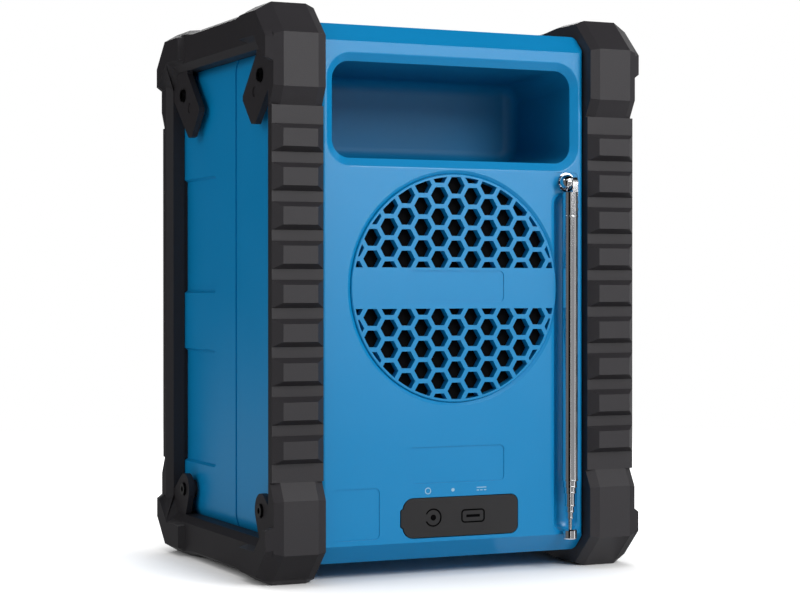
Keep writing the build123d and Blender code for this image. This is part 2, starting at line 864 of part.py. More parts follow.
def make_mast():
    mast = make_section(0)
    for drop in mast_ring_drops:
        low = pivot_z - drop - mast_ring_width / 2
        high = low + mast_ring_width
        ring = rod_z(mast_radius + mast_ring_proud, low, high, mast_x, mast_y)
        mast += ring - rod_z(mast_radius - section_wall / 2, low, high, mast_x, mast_y)
    low, high = lug_x()[1]
    lug = rod_x(lug_radius, low, high, mast_y, pivot_z)
    lug += block(low, high, mast_y - lug_radius, mast_y + lug_radius, mast_top - 2, pivot_z)
    mast += lug & block(low - 1, high + 1, mast_y - mast_radius, mast_y + mast_radius,
                        mast_top - 2, height)
    return mast - rod_x(pivot_pin_radius + running_clearance, low - 1, high + 1, mast_y, pivot_z)


def make_swivel():
    """Round base, a ball with a flat side that the mast's lug turns on, and a shank."""
    seat = rear_face - label_dent_depth
    flat_x = lug_x()[0][0]
    ball_x = mast_x + swivel_ball_offset
    ball = Pos(ball_x, mast_y, pivot_z) * Sphere(swivel_ball_radius)
    ball += rod_y(swivel_neck_radius, seat, mast_y - swivel_neck_radius, ball_x, pivot_z)
    swivel = ball & block(flat_x, 0, seat, depth / 2, 0, height)
    swivel += rod_y(swivel_radius, seat, rear_face + swivel_proud, mast_x, pivot_z)
    tail = rear_face - mast_backing[1] - swivel_clip_thickness - 0.3
    swivel += rod_y(swivel_shank_radius, tail, seat + 0.1, mast_x, pivot_z)
    return swivel - rod_x(pivot_pin_radius + running_clearance, flat_x - 1,
                          pivot_pin_end() + running_clearance, mast_y, pivot_z)


def pivot_pin_end():
    """Inner end of the pivot pin, inside the ball."""
    return lug_x()[0][1]


def make_swivel_clip():
    """Spring clip on the swivel's tail, behind the housing wall."""
    front = rear_face - mast_backing[1]
    clip = rod_y(swivel_clip_radius, front - swivel_clip_thickness, front - 0.1, mast_x, pivot_z)
    clip -= rod_y(swivel_shank_radius + 0.02, front - 5, front + 1, mast_x, pivot_z)
    return clip


def make_pivot_pin():
    """Pin through the mast's lug into the ball, with a flat head outside the lug."""
    outer = lug_x()[1][0]
    pin = rod_x(pivot_pin_radius, outer - lug_gap - 0.1, pivot_pin_end(), mast_y, pivot_z)
    head_x = outer - lug_gap
    return pin + rod_x(pivot_head_radius, head_x - pivot_head_thickness, head_x, mast_y, pivot_z)


def make_tip():
    rod = section_radius(len(section_ends) - 1)
    cap = rod_z(tip_radius, tip_bottom, tip_top, mast_x, mast_y)
    cap = chamfer(cap.edges().filter_by(GeomType.CIRCLE), 0.5)
    return cap - rod_z(rod, section_ends[-1], tip_top + 1, mast_x, mast_y)


def channel_hollow(half_width, sink):
    """Round-bottomed hollow along the mast, this wide at the panel's face and this deep."""
    radius = (half_width ** 2 + sink ** 2) / (2 * sink)
    return rod_z(radius, channel_bottom, channel_top, mast_x, rear_face - sink + radius)


def antenna_channel():
    """Long hollow behind the folded antenna, and the square dent round its swivel."""
    hollow = channel_hollow(channel_half_width, channel_depth)
    hollow = fillet(hollow.edges().filter_by(GeomType.CIRCLE), channel_end_radius)
    lip = channel_hollow(channel_lip_half_width, channel_lip_depth)
    length = channel_top - channel_bottom
    outline = pad(
        2 * channel_lip_half_width, length, channel_end_radius,
        mast_x, channel_bottom + length / 2,
    )
    lip &= prism_y(outline, rear_face - channel_depth, rear_face + 1)
    size = mount_dent_size
    dent = pad(*size, dent_radius, mast_x, channel_top + size[1] / 2 - mount_dent_overlap)
    return hollow + lip + prism_y(dent, rear_face - label_dent_depth, rear_face + 1)


# ---------------------------------------------------------------- side guards
def guard_point(inward, down, rear=1, upper=1):
    """Point in Y and Z, by its distance in from the block's face and down from its top."""
    y = rear * (depth / 2 - inward)
    z = middle_z + upper * (height / 2 - down)
    return (y, z)


def guard_outline():
    corner = [
        (post_recess, block_height + post_ramp), (0, block_height), (0, corner_drop),
        (corner_run, 0), (block_length, 0), (block_length + rail_ramp, rail_recess),
    ]
    points = [guard_point(*point) for point in corner]
    points += [guard_point(*point, rear=-1) for point in reversed(corner)]
    points += [guard_point(*point, rear=-1, upper=-1) for point in corner]
    points += [guard_point(*point, upper=-1) for point in reversed(corner)]
    return Polygon(*points, align=None)


def ear_outline():
    """Raised ear on one corner, at the level where the block's outer slope begins."""
    slope = math.tan(math.radians(block_outer_slope))
    grow = (guard_face_x - block_outer_x) * slope
    inner_y = depth / 2 - window_half_depth - window_bevel + grow
    inner_z = window_bottom - window_bevel + grow
    points = [
        (0, corner_drop), (corner_run, 0), (block_length, 0), (block_length + 5.9, 0.6),
        (block_length + 5.9, inner_z), (inner_y + 9.2, inner_z), (inner_y, inner_z + 8.3),
        (inner_y, inner_z + 10.4), (0, inner_z + 10.4),
    ]
    return Polygon(*[guard_point(*point) for point in points], align=None)


def four_corners(solid):
    """Copies of a solid at the rear upper corner, mirrored to all four corners of a guard."""
    pair = solid + mirror(solid, Plane.XZ)
    return pair + mirror(pair, Plane.XY.offset(middle_z))


def make_rib():
    """Rib across a post, on the rear, at the middle height: a block with four sloped sides."""
    base_y = depth / 2 - post_recess
    top_y = depth / 2 - rib_recess
    base = Pos((guard_inner_x + guard_face_x) / 2, middle_z) * Rectangle(
        guard_face_x - guard_inner_x, rib_height
    )
    face = Pos((block_inner_x + block_outer_x) / 2, middle_z) * Rectangle(
        block_outer_x - block_inner_x, rib_face_height
    )
    return loft([Plane.XZ.offset(-base_y) * base, Plane.XZ.offset(-top_y) * face])


def upper_tab_outline():
    """Arrow-shaped tab that reaches into the window's upper rear corner."""
    y, z = upper_screw
    points = [
        (window_half_depth + 1.5, window_top + 1.5), (y - 5.3, window_top + 1.5),
        (y - 5.3, window_top - 1.4), (y - 22.7, z - 7.3), (y - 22.7, z - 9.2),
        (y - 11.8, z - 20.3), (y - 7.2, z - 20.7), (window_half_depth + 1.5, z - 0.3),
    ]
    shape = Polygon(*points, align=None)
    tip = [v for v in shape.vertices() if v.Y < z - 4 * tab_tip_radius and v.X < y]
    return fillet(tip, tab_tip_radius)


def lower_tab_outline():
    """Rounded tab round the screw in the window's lower rear corner."""
    y, z = lower_screw
    lobe = Pos(y, z) * Circle(lower_lobe_radius)
    web = Polygon(
        (y - 1.5, window_bottom - 1.5), (window_half_depth + 1.5, window_bottom - 1.5),
        (window_half_depth + 1.5, z - 2.0), (y + 3.6, z + 6.6), (y - 6.8, z - 3.2),
        align=None,
    )
    return lobe + web


def guard_tab_cuts(y, z):
    """Counterbore and hole for one guard screw."""
    hole = guard_screw_radius + screw_clearance
    room = guard_head_radius + guard_head_room
    cut = rod_x(hole, side_face - 1, ear_face_x + 1, y, z)
    return cut + rod_x(room, tab_face_x - guard_head_sink, ear_face_x + 1, y, z)


def make_guard():
    """Guard on the +X side."""
    outline = guard_outline()
    full = prism_x(outline, block_inner_x, block_outer_x)
    outer = extrude(
        Plane.YZ.offset(block_outer_x) * outline, guard_face_x - block_outer_x,
        taper=block_outer_slope,
    )
    inner = extrude(
        Plane.YZ.offset(block_inner_x) * outline, block_inner_x - guard_inner_x,
        dir=(-1, 0, 0), taper=block_inner_slope,
    )
    guard = full + outer + inner
    post_y = depth / 2 - post_recess
    low = block_height + post_ramp
    for sign in (1, -1):
        near, far = sorted((sign * (window_half_depth - 1), sign * post_y))
        guard += block(guard_inner_x, guard_face_x, near, far, low, height - low)
    guard -= core_form(-guard_clearance)
    window = Pos(0, middle_z) * Rectangle(2 * window_half_depth, height - 2 * window_bottom)
    guard -= prism_x(window, guard_inner_x - 1, ear_face_x + 1)
    guard -= extrude(
        Plane.YZ.offset(guard_face_x - window_bevel) * window, 2 * window_bevel, taper=-45
    )
    ear = extrude(
        Plane.YZ.offset(block_outer_x) * ear_outline(), ear_face_x - block_outer_x,
        taper=block_outer_slope,
    )
    guard += four_corners(ear)
    rib = make_rib()
    for index in range(rib_count):
        lift = (index - (rib_count - 1) / 2) * rib_pitch
        raised = Pos(0, 0, lift) * rib
        guard += raised
        guard += mirror(raised, Plane.XZ)
    back_x = tab_face_x - tab_thickness
    upper = prism_x(upper_tab_outline(), back_x, tab_face_x)
    lower = prism_x(lower_tab_outline(), back_x, tab_face_x)
    for tab in (upper, lower):
        guard += tab + mirror(tab, Plane.XZ)
    for y, z in side_screw_places():
        guard += rod_x(tab_boss_radius, side_face, back_x + 0.1, y, z)
        guard -= guard_tab_cuts(y, z)
    for sign in (1, -1):
        y, z = (place + shift for place, shift in zip(upper_screw, tab_dimple_shift))
        guard -= rod_x(tab_dimple_radius, tab_face_x - tab_dimple_depth, ear_face_x, sign * y, z)
    return guard


# ---------------------------------------------------------------- screws
def socket_screw(radius, length, head_radius, head_height):
    """Socket-head screw along X: its head's seat lies at x = 0 and it points to -X."""
    screw = rod_x(radius, -length, 0.1, 0, 0) + rod_x(head_radius, 0, head_height, 0, 0)
    key = RegularPolygon(hex_key_across / math.sqrt(3), 6)
    return screw - prism_x(key, head_height - hex_key_depth, head_height + 1)


def make_guard_screws():
    seat_x = tab_face_x - guard_head_sink
    screw = socket_screw(
        guard_screw_radius, guard_screw_length, guard_head_radius, guard_head_height
    )
    screws = []
    for y, z in side_screw_places():
        placed = Pos(seat_x, y, z) * screw
        screws += [placed, mirror(placed, Plane.YZ)]
    return with_solids(screws)


def make_shell_screws():
    screw = socket_screw(
        shell_screw_radius, shell_screw_length, shell_head_radius, shell_head_height
    )
    places = shell_screw_places()
    return with_solids(Pos(x, shell_head_y, z) * Rot(0, 0, 90) * screw for x, z in places)


# ---------------------------------------------------------------- front
def fascia_outline(grow):
    return pad(
        fascia_width + 2 * grow, fascia_height + 2 * grow, fascia_radius + grow,
        0, middle_z,
    )


def button_places():
    first = -(button_count - 1) / 2 * button_pitch
    return [first + index * button_pitch for index in range(button_count)]


def make_fascia():
    plate = prism_y(fascia_outline(0), fascia_face, recess_floor)
    low, high = fascia_face - 1, recess_floor + 1
    plate -= rod_y(grille_opening_radius, low, high, 0, speaker_z)
    lens = pad(display_size[0], display_size[1], display_radius, 0, display_z)
    plate -= prism_y(lens, low, high)
    for x in button_places():
        hole = pad(
            button_size[0] + 2 * button_gap, button_size[1] + 2 * button_gap,
            button_radius + button_gap, x, button_z,
        )
        plate -= prism_y(hole, low, high)
    for sign in (1, -1):
        plate -= rod_y(encoder_bush_radius + bush_hole_gap, low, high, sign * knob_x, knob_z)
    return plate


def make_front_grille():
    back = recess_floor
    plate = rod_y(front_grille_radius, back - front_grille_thickness, back, 0, 0)
    cells = hexagon_field(front_field_radius, 0)
    plate -= [prism_y(cell, back - front_grille_thickness - 1, back + 1) for cell in cells]
    return Pos(0, 0, speaker_z) * plate


def make_grille_ring():
    """Raised ring round the front grille, rounded on its outside."""
    top = fascia_face - ring_height
    points = [
        (ring_inner_radius, recess_floor - front_grille_thickness),
        (ring_inner_radius, top + 1.0), (ring_inner_radius + 1.0, top),
        (ring_outer_radius - 2.4, top), (ring_outer_radius, fascia_face - 0.6),
        (ring_outer_radius, fascia_face), (grille_opening_radius - 0.3, fascia_face),
        (grille_opening_radius - 0.3, recess_floor - front_grille_thickness),
    ]
    return turned_y(points, 0, speaker_z)


def make_display_lens():
    lens = pad(
        display_size[0] - 0.3, display_size[1] - 0.3, display_radius, 0, display_z
    )
    front = fascia_face + lens_sink
    return prism_y(lens, front, front + lens_thickness)


def make_display_module():
    size = module_size
    front = fascia_face + lens_sink + lens_thickness + 0.3
    return block(-size[0] / 2, size[0] / 2, front, control_board_y,
                 display_z - size[2] / 2, display_z + size[2] / 2)


def make_button(x):
    outline = pad(*button_size, button_radius, x, button_z)
    back = recess_floor + button_gap
    cap = prism_y(outline, fascia_face - button_proud, back + 0.1)
    front_edges = cap.faces().sort_by(Axis.Y)[0].edges()
    cap = fillet(front_edges, 0.7)
    flange = pad(
        button_size[0] + 2 * button_flange, button_size[1] + 2 * button_flange,
        button_radius + button_flange, x, button_z,
    )
    flange_back = back + button_flange_thickness
    stem_end = control_board_y - switch_size[1] - button_travel - 0.1
    return (cap + prism_y(flange, back, flange_back)
            + rod_y(button_stem_radius, flange_back - 0.1, stem_end, x, button_z))


def knob_front():
    return fascia_face - knob_gap - knob_length


def make_knob(x):
    """Fluted dial with a dished face and a pointer line."""
    back = fascia_face - knob_gap
    front = knob_front()
    points = [
        (0, back), (knob_radius, back), (knob_radius - 0.6, front + 1.6),
        (knob_radius - 2.2, front), (knob_radius - 4.0, front), (knob_radius - 5.0, front + 0.8),
        (0, front + 1.2),
    ]
    knob = turned_y(points, 0, 0)
    for index in range(knob_flute_count):
        angle = 2 * math.pi * index / knob_flute_count
        reach = knob_radius + knob_flute_radius * 0.35
        knob -= rod_y(
            knob_flute_radius, front + 1.2, back + 1,
            reach * math.cos(angle), reach * math.sin(angle),
        )
    line = block(-dial_line_width / 2, dial_line_width / 2, front - 1,
                 front + 1.2 + dial_line_depth, knob_radius - 5.4 - dial_line_length,
                 knob_radius - 5.4)
    knob -= line & block(-knob_radius, knob_radius, front - 1, back, 0, knob_radius)
    socket_top = back - shaft_reach
    knob -= rod_y(shaft_radius + 0.02, socket_top, back + 1, 0, 0)
    room = encoder_bush_radius + 2 * bush_hole_gap
    knob -= rod_y(room, back - 1.4, back + 1, 0, 0)
    return Pos(x, 0, knob_z) * knob


def encoder_front():
    """Front face of the encoder's body, in front of the control board."""
    return control_board_y - encoder_size[1]


def make_shaft(x):
    low = fascia_face - knob_gap - shaft_reach
    return rod_y(shaft_radius, low + 0.1, encoder_front() + 4.0, x, knob_z)


def make_encoder(x):
    size = encoder_size
    front = encoder_front()
    body = block(x - size[0] / 2, x + size[0] / 2, front, control_board_y,
                 knob_z - size[2] / 2, knob_z + size[2] / 2)
    body += rod_y(encoder_bush_radius, front - encoder_bush_length, front + 0.1, x, knob_z)
    bore = shaft_radius + running_clearance
    return body - rod_y(bore, front - encoder_bush_length - 1, front + 4.2, x, knob_z)


def make_control_board():
    size = control_board_size
    board = block(-size[0] / 2, size[0] / 2, control_board_y, control_board_y + size[1],
                  control_bottom, control_bottom + control_height)
    for x in button_places():
        board += block(
            x - switch_size[0] / 2, x + switch_size[0] / 2, control_board_y - switch_size[1],
            control_board_y + 0.1, button_z - switch_size[2] / 2, button_z + switch_size[2] / 2,
        )
    half_x = size[0] / 2 - 1.5
    for x in (-half_x, half_x):
        for z in (control_bottom + 5, control_bottom + control_height - 5):
            board += rod_y(1.4, front_inner, control_board_y + 0.1, x, z)
    return board


# ---------------------------------------------------------------- loudspeaker
def speaker_screw_places(centre_z):
    reach = speaker_screw_circle / math.sqrt(2)
    return [(a * reach, centre_z + b * reach) for a in (1, -1) for b in (1, -1)]


def make_basket():
    """Pressed steel frame: flange, sloped wall with open slots and a flat floor."""
    front = front_inner
    flange_back = front + basket_flange
    floor_y = front + basket_depth
    rim = surround_outer_radius - surround_seat
    points = [
        (rim, front), (basket_radius, front), (basket_radius, flange_back),
        (rim + basket_wall, flange_back), (basket_floor_radius + basket_wall, floor_y),
        (cone_inner_radius + 1.0, floor_y), (cone_inner_radius + 1.0, floor_y - basket_wall),
        (basket_floor_radius, floor_y - basket_wall), (rim, flange_back),
    ]
    basket = turned_y(points, 0, 0)
    middle = (front + floor_y) / 2
    for index in range(basket_slot_count):
        turn = Rot(0, 360 * index / basket_slot_count, 0)
        basket -= turn * block(20, 60, middle - 5, middle + 5, -9, 9)
    basket = Pos(0, 0, speaker_z) * basket
    for x, z in speaker_screw_places(speaker_z):
        basket -= rod_y(speaker_screw_radius + screw_clearance, front - 1, flange_back + 1, x, z)
    return basket


def roll_profile(inner, outer, y, thickness):
    """Half-round roll between two flat lips, as a closed outline in (radius, y)."""
    centre = (outer + inner) / 2
    big = surround_roll_radius
    small = big - thickness
    lines = Polyline((inner, y), (centre - big, y))
    lines += ThreePointArc((centre - big, y), (centre, y - big), (centre + big, y))
    lines += Polyline((centre + big, y), (outer, y), (outer, y + thickness),
                      (centre + small, y + thickness), (centre + small, y))
    lines += ThreePointArc((centre + small, y), (centre, y - small), (centre - small, y))
    lines += Polyline((centre - small, y), (centre - small, y + thickness),
                      (inner, y + thickness), (inner, y))
    return make_face(lines)


def make_surround():
    y = front_inner - surround_thickness
    profile = roll_profile(cone_outer_radius - 1.5, surround_outer_radius, y, surround_thickness)
    return Pos(0, 0, speaker_z) * revolve(profile, Axis.Y)


def make_cone():
    y = front_inner
    deep = y + cone_depth
    points = [
        (cone_outer_radius, y), (cone_outer_radius, y + cone_thickness),
        (cone_inner_radius + 1.5, deep + cone_thickness),
        (cone_inner_radius, deep + cone_thickness), (cone_inner_radius, deep - 0.4),
        (cone_outer_radius - 1.2, y),
    ]
    return turned_y(points, 0, speaker_z)


def make_dust_cap():
    y = front_inner + cone_depth
    radius = cone_inner_radius - 0.05
    sphere = (radius ** 2 + cap_height ** 2) / (2 * cap_height)
    cap = Pos(0, y - cap_height + sphere, 0) * Sphere(sphere)
    cap &= rod_y(radius, y - cap_height - 1, y, 0, 0)
    cap += rod_y(radius, y - 0.1, y + 3.0, 0, 0)
    return Pos(0, 0, speaker_z) * cap


def make_magnet():
    y = front_inner + basket_depth
    magnet = rod_y(magnet_radius, y, y + magnet_thickness, 0, speaker_z)
    pole = rod_y(cone_inner_radius - 2.0, y - 2.5, y + 0.1, 0, speaker_z)
    return magnet + pole


def make_speaker_screws():
    screw = socket_screw(
        speaker_screw_radius, speaker_screw_length, speaker_head_radius, speaker_head_height
    )
    seat = front_inner + basket_flange
    front = [Pos(x, seat, z) * Rot(0, 0, 90) * screw for x, z in speaker_screw_places(speaker_z)]
    return with_solids(front)


# ---------------------------------------------------------------- rear radiator
def radiator_front():
    return rear_inner - rear_flange_thickness


def radiator_seat():
    return radiator_front() - radiator_step


def make_radiator_frame():
    front = radiator_front()
    seat = radiator_seat()
    rim = radiator_roll_edge + 0.4
    inner = radiator_roll_edge - 3.0
    points = [
        (inner, seat), (inner, front - radiator_frame_depth),
        (rear_flange_radius, front - radiator_frame_depth), (rear_flange_radius, front),
        (rim, front), (rim, seat),
    ]
    return turned_y(points, 0, grille_centre_z)


def make_radiator_surround():
    y = radiator_seat() + surround_thickness
    profile = roll_profile(
        radiator_disc_radius - 2.0, radiator_roll_edge, -y, surround_thickness
    )
    turned = mirror(revolve(profile, Axis.Y), Plane.XZ)
    return Pos(0, 0, grille_centre_z) * turned


def make_radiator_disc():
    y = radiator_seat()
    disc = rod_y(radiator_disc_radius, y - radiator_disc_thickness, y, 0, grille_centre_z)
    return disc + rod_y(12.0, y - 6.0, y - radiator_disc_thickness + 0.1, 0, grille_centre_z)


def make_grille_cloth():
    back = rear_face - rear_disc_thickness
    cloth = rod_y(field_radius - 0.3, back - cloth_thickness, back, 0, grille_centre_z)
    return cloth


# ---------------------------------------------------------------- electronics
def main_board_posts():
    """X and Z of the four posts that carry the main board."""
    half_x = main_board_size[0] / 2 - post_inset
    half_z = main_board_size[2] / 2 - post_inset
    return [(x, main_board_z + z) for x in (-half_x, half_x) for z in (-half_z, half_z)]


def make_main_board():
    size = main_board_size
    z = main_board_z
    y = main_board_y
    board = block(-size[0] / 2, size[0] / 2, y - size[1], y, z - size[2] / 2, z + size[2] / 2)
    board += block(-24, 8, y - 0.1, y + 6, z - 6, z + 18)
    for x in (22, 34):
        board += rod_y(5.0, y - 0.1, y + 12, x, z + 24)
    return board


def cell_places():
    offset = cell_radius + cell_gap / 2
    return [cell_y - offset, cell_y + offset]


def cell_z():
    return inner_bottom + holder_wall + cell_radius + cell_gap


def make_battery_cells():
    cells = []
    for y in cell_places():
        body = rod_x(cell_radius, -cell_length / 2, cell_length / 2, y, cell_z())
        body += rod_x(3.0, cell_length / 2 - 0.1, cell_length / 2 + 1.2, y, cell_z())
        cells.append(body)
    return with_solids(cells)


def make_battery_holder():
    half_x = cell_length / 2 + 1.6
    half_y = 2 * cell_radius + cell_gap * 1.5
    base = inner_bottom
    tray = block(-half_x - holder_wall, half_x + holder_wall, cell_y - half_y - holder_wall,
                 cell_y + half_y + holder_wall, base, base + holder_height)
    return tray - block(-half_x, half_x, cell_y - half_y, cell_y + half_y,
                        base + holder_wall, base + holder_height + 1)


# ---------------------------------------------------------------- write every node
def build_nodes():
    guard = make_guard()
    nodes = {
        "front_shell": make_front_shell(),
        "rear_shell": make_rear_shell(),
        "grab_pocket": make_grab_pocket(),
        "port_tray": make_port_tray(),
        "port_floor": make_port_floor(),
        "shell_seal": ring_between(seal_outer_inset, seal_inner_inset, seal_width / 2),
        "guard_right": guard,
        "guard_left": mirror(guard, Plane.YZ),
        "guard_screws": make_guard_screws(),
        "shell_screws": make_shell_screws(),
        "rear_grille": make_rear_grille(),
        "grille_cloth": make_grille_cloth(),
        "radiator_frame": make_radiator_frame(),
        "radiator_surround": make_radiator_surround(),
        "radiator_disc": make_radiator_disc(),
        "fascia": make_fascia(),
        "front_grille": make_front_grille(),
        "grille_ring": make_grille_ring(),
        "speaker_basket": make_basket(),
        "speaker_surround": make_surround(),
        "speaker_cone": make_cone(),
        "speaker_dust_cap": make_dust_cap(),
        "speaker_magnet": make_magnet(),
        "speaker_screws": make_speaker_screws(),
        "display_lens": make_display_lens(),
        "display_module": make_display_module(),
        "control_board": make_control_board(),
        "main_board": make_main_board(),
        "battery_cells": make_battery_cells(),
        "battery_holder": make_battery_holder(),
        "port_cover": make_port_cover(),
        "port_board": make_port_board(),
        "aux_jack": make_aux_jack(),
        "usb_socket": make_usb_socket(),
        "reset_button": make_reset_button(),
        "antenna_swivel": make_swivel(),
        "antenna_clip": make_swivel_clip(),
        "antenna_pin": make_pivot_pin(),
        "antenna_mast": make_mast(),
        "antenna_tip": make_tip(),
    }
    for index in range(1, len(section_ends)):
        nodes[f"antenna_section_{index + 1}"] = make_section(index)
    for index, x in enumerate(button_places()):
        nodes[f"button_{index + 1}"] = make_button(x)
    for name, sign in (("volume", -1), ("tuning", 1)):
        nodes[f"{name}_knob"] = make_knob(sign * knob_x)
        nodes[f"{name}_shaft"] = make_shaft(sign * knob_x)
        nodes[f"{name}_encoder"] = make_encoder(sign * knob_x)
    return nodes


os.makedirs("parts", exist_ok=True)
for name, shape in build_nodes().items():
    export_step(shape, f"parts/{name}.step")
    print(name)
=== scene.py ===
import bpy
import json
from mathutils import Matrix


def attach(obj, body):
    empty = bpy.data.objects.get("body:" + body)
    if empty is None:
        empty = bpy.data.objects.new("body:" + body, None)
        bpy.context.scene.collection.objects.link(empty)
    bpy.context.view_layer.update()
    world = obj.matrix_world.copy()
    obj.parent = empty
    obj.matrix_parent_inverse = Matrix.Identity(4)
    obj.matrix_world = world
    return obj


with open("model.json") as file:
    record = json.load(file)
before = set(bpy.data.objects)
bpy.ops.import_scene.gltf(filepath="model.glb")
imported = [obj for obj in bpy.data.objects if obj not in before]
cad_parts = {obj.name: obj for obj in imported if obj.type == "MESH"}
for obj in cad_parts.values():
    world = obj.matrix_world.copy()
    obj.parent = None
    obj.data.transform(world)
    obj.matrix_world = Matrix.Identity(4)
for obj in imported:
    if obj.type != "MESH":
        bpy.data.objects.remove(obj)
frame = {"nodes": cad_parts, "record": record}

"""Looks of a jobsite radio: satin blue shells between two dark ribbed guards.

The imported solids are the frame. This script gives them their finishes and soft edges, and adds
the pieces that are too fine for the solids. Sizes are in metres, X to the right seen from the
front, Y to the rear and Z up.
"""

import json
import logging
import math
from dataclasses import dataclass, field
from enum import Enum
from typing import Any, Iterable, Sequence

import bpy
import numpy as np
from mathutils import Vector

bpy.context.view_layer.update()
LOG = logging.getLogger("radio")
MM = 0.001
Colour = tuple[float, float, float]

REAR_FACE = 71.2 * MM
FASCIA_FACE = -69.2 * MM
WELL_FLOOR = 60.0 * MM
PORTS_Z = 26.5 * MM
COVER_PROUD = 0.2 * MM
KNOB_CENTRES = ((-33.0 * MM, 152.5 * MM), (33.0 * MM, 152.5 * MM))
ANTENNA_AXIS = (-55.3 * MM, 75.0 * MM)


# ------------------------------------------------------------------------------ shader tools
class Signal:
    """A socket that plain arithmetic can combine into Math nodes."""

    def __init__(self, shader: "Shader", socket: bpy.types.NodeSocket) -> None:
        """Wraps a socket of one shader."""
        self.shader = shader
        self.socket = socket

    def maths(self, operation: str, *values: "Signal | float") -> "Signal":
        """Adds one Math node.

        Args:
            operation: the Math node's operation.
            values: its inputs, in order.

        Returns:
            The node's result.
        """
        node = self.shader.add("ShaderNodeMath", {"operation": operation}, dict(enumerate(values)))
        return Signal(self.shader, node.outputs[0])

    def __add__(self, other: "Signal | float") -> "Signal":
        """Sum."""
        return self.maths("ADD", self, other)

    __radd__ = __add__

    def __sub__(self, other: "Signal | float") -> "Signal":
        """Difference."""
        return self.maths("SUBTRACT", self, other)

    def __rsub__(self, other: "Signal | float") -> "Signal":
        """Difference, with this signal taken away."""
        return self.maths("SUBTRACT", other, self)

    def __mul__(self, other: "Signal | float") -> "Signal":
        """Product."""
        return self.maths("MULTIPLY", self, other)

    __rmul__ = __mul__

    def clamped(self) -> "Signal":
        """This signal held between 0 and 1."""
        return self.maths("MINIMUM", self.maths("MAXIMUM", self, 0.0), 1.0)


class Shader:
    """The node tree of one material."""

    def __init__(self, name: str) -> None:
        """Makes an empty material with this name."""
        self.material = bpy.data.materials.new(name)
        self.material.use_nodes = True
        self.tree = self.material.node_tree
        self.tree.nodes.clear()

    @classmethod
    def on_tree(cls, tree: bpy.types.NodeTree) -> "Shader":
        """A shader on a tree that exists, such as the world's, cleared."""
        shader = cls.__new__(cls)
        shader.tree = tree
        tree.nodes.clear()
        return shader

    def add(
        self,
        kind: str,
        settings: dict[str, Any] | None = None,
        inputs: dict[str | int, Any] | None = None,
    ) -> bpy.types.Node:
        """Adds one node.

        Args:
            kind: the node's type.
            settings: properties, set before anything is linked.
            inputs: values, sockets or signals by socket name or number.

        Returns:
            The new node.
        """
        node = self.tree.nodes.new(kind)
        for key, value in (settings or {}).items():
            setattr(node, key, value)
        for key, value in (inputs or {}).items():
            if isinstance(value, Signal):
                value = value.socket
            if isinstance(value, bpy.types.NodeSocket):
                self.tree.links.new(value, node.inputs[key])
            else:
                node.inputs[key].default_value = value
        return node

    def place(self) -> bpy.types.NodeSocket:
        """Object coordinates, in metres."""
        return self.add("ShaderNodeTexCoord").outputs["Object"]

    def noise(self, size: float, detail: float = 2.0, roughness: float = 0.5) -> Signal:
        """Cloudy noise.

        Args:
            size: length of one cloud, in metres.
            detail: octaves of finer noise.
            roughness: share of each finer octave.

        Returns:
            The noise, about 0.5 on average.
        """
        node = self.add(
            "ShaderNodeTexNoise",
            None,
            {"Vector": self.place(), "Scale": 1.0 / size, "Detail": detail, "Roughness": roughness},
        )
        return Signal(self, node.outputs[0])

    def mix(self, factor: Signal, low: Colour, high: Colour) -> bpy.types.NodeSocket:
        """Colour between low and high by factor."""
        node = self.add(
            "ShaderNodeMix",
            {"data_type": "RGBA"},
            {0: factor, 6: (*low, 1.0), 7: (*high, 1.0)},
        )
        return node.outputs[2]

    def bump(self, height: Signal, distance: float, strength: float = 1.0) -> bpy.types.NodeSocket:
        """Normal that a height bends.

        Args:
            height: the height, 0 to 1.
            distance: metres that a height of 1 stands for.
            strength: share of the effect.

        Returns:
            The bent normal.
        """
        node = self.add(
            "ShaderNodeBump", None, {"Height": height, "Distance": distance, "Strength": strength}
        )
        return node.outputs[0]

    def surface(self, inputs: dict[str, Any]) -> bpy.types.Material:
        """Ends the tree with a principled surface.

        Args:
            inputs: values or sockets by socket name.

        Returns:
            The finished material.
        """
        body = self.add("ShaderNodeBsdfPrincipled", None, inputs)
        self.add("ShaderNodeOutputMaterial", None, {"Surface": body.outputs[0]})
        return self.material


def from_screen(red: int, green: int, blue: int) -> Colour:
    """Linear colour of a screen colour: each level over 255 goes through the sRGB curve."""
    levels = np.array((red, green, blue)) / 255.0
    curve = np.where(levels <= 0.04045, levels / 12.92, ((levels + 0.055) / 1.055) ** 2.4)
    return tuple(float(v) for v in curve)


def shaded(colour: Colour, share: float) -> Colour:
    """The colour times a share."""
    return tuple(v * share for v in colour)


# ------------------------------------------------------------------------------ finishes
@dataclass(frozen=True)
class MouldedPlastic:
    """Injection-moulded plastic with the fine grain of an etched mould."""

    name: str
    colour: Colour
    roughness: float = 0.45
    spread: float = 0.05
    grain: float = 0.45 * MM
    grain_height: float = 0.02 * MM
    specular: float = 0.5
    wear_size: float = 38 * MM
    wear_roughness: float = 0.10

    def build(self) -> bpy.types.Material:
        """Makes the material: fine noise for the grain, broad noise for handling wear."""
        shader = Shader(self.name)
        broad = shader.noise(self.wear_size, 3.0)
        fine = shader.noise(self.grain, 1.0)
        colour = shader.mix(
            broad, shaded(self.colour, 1 - self.spread), shaded(self.colour, 1 + self.spread)
        )
        return shader.surface(
            {
                "Base Color": colour,
                "Roughness": self.roughness + self.wear_roughness * (broad - 0.5),
                "Specular IOR Level": self.specular,
                "Normal": shader.bump(fine, self.grain_height),
            }
        )


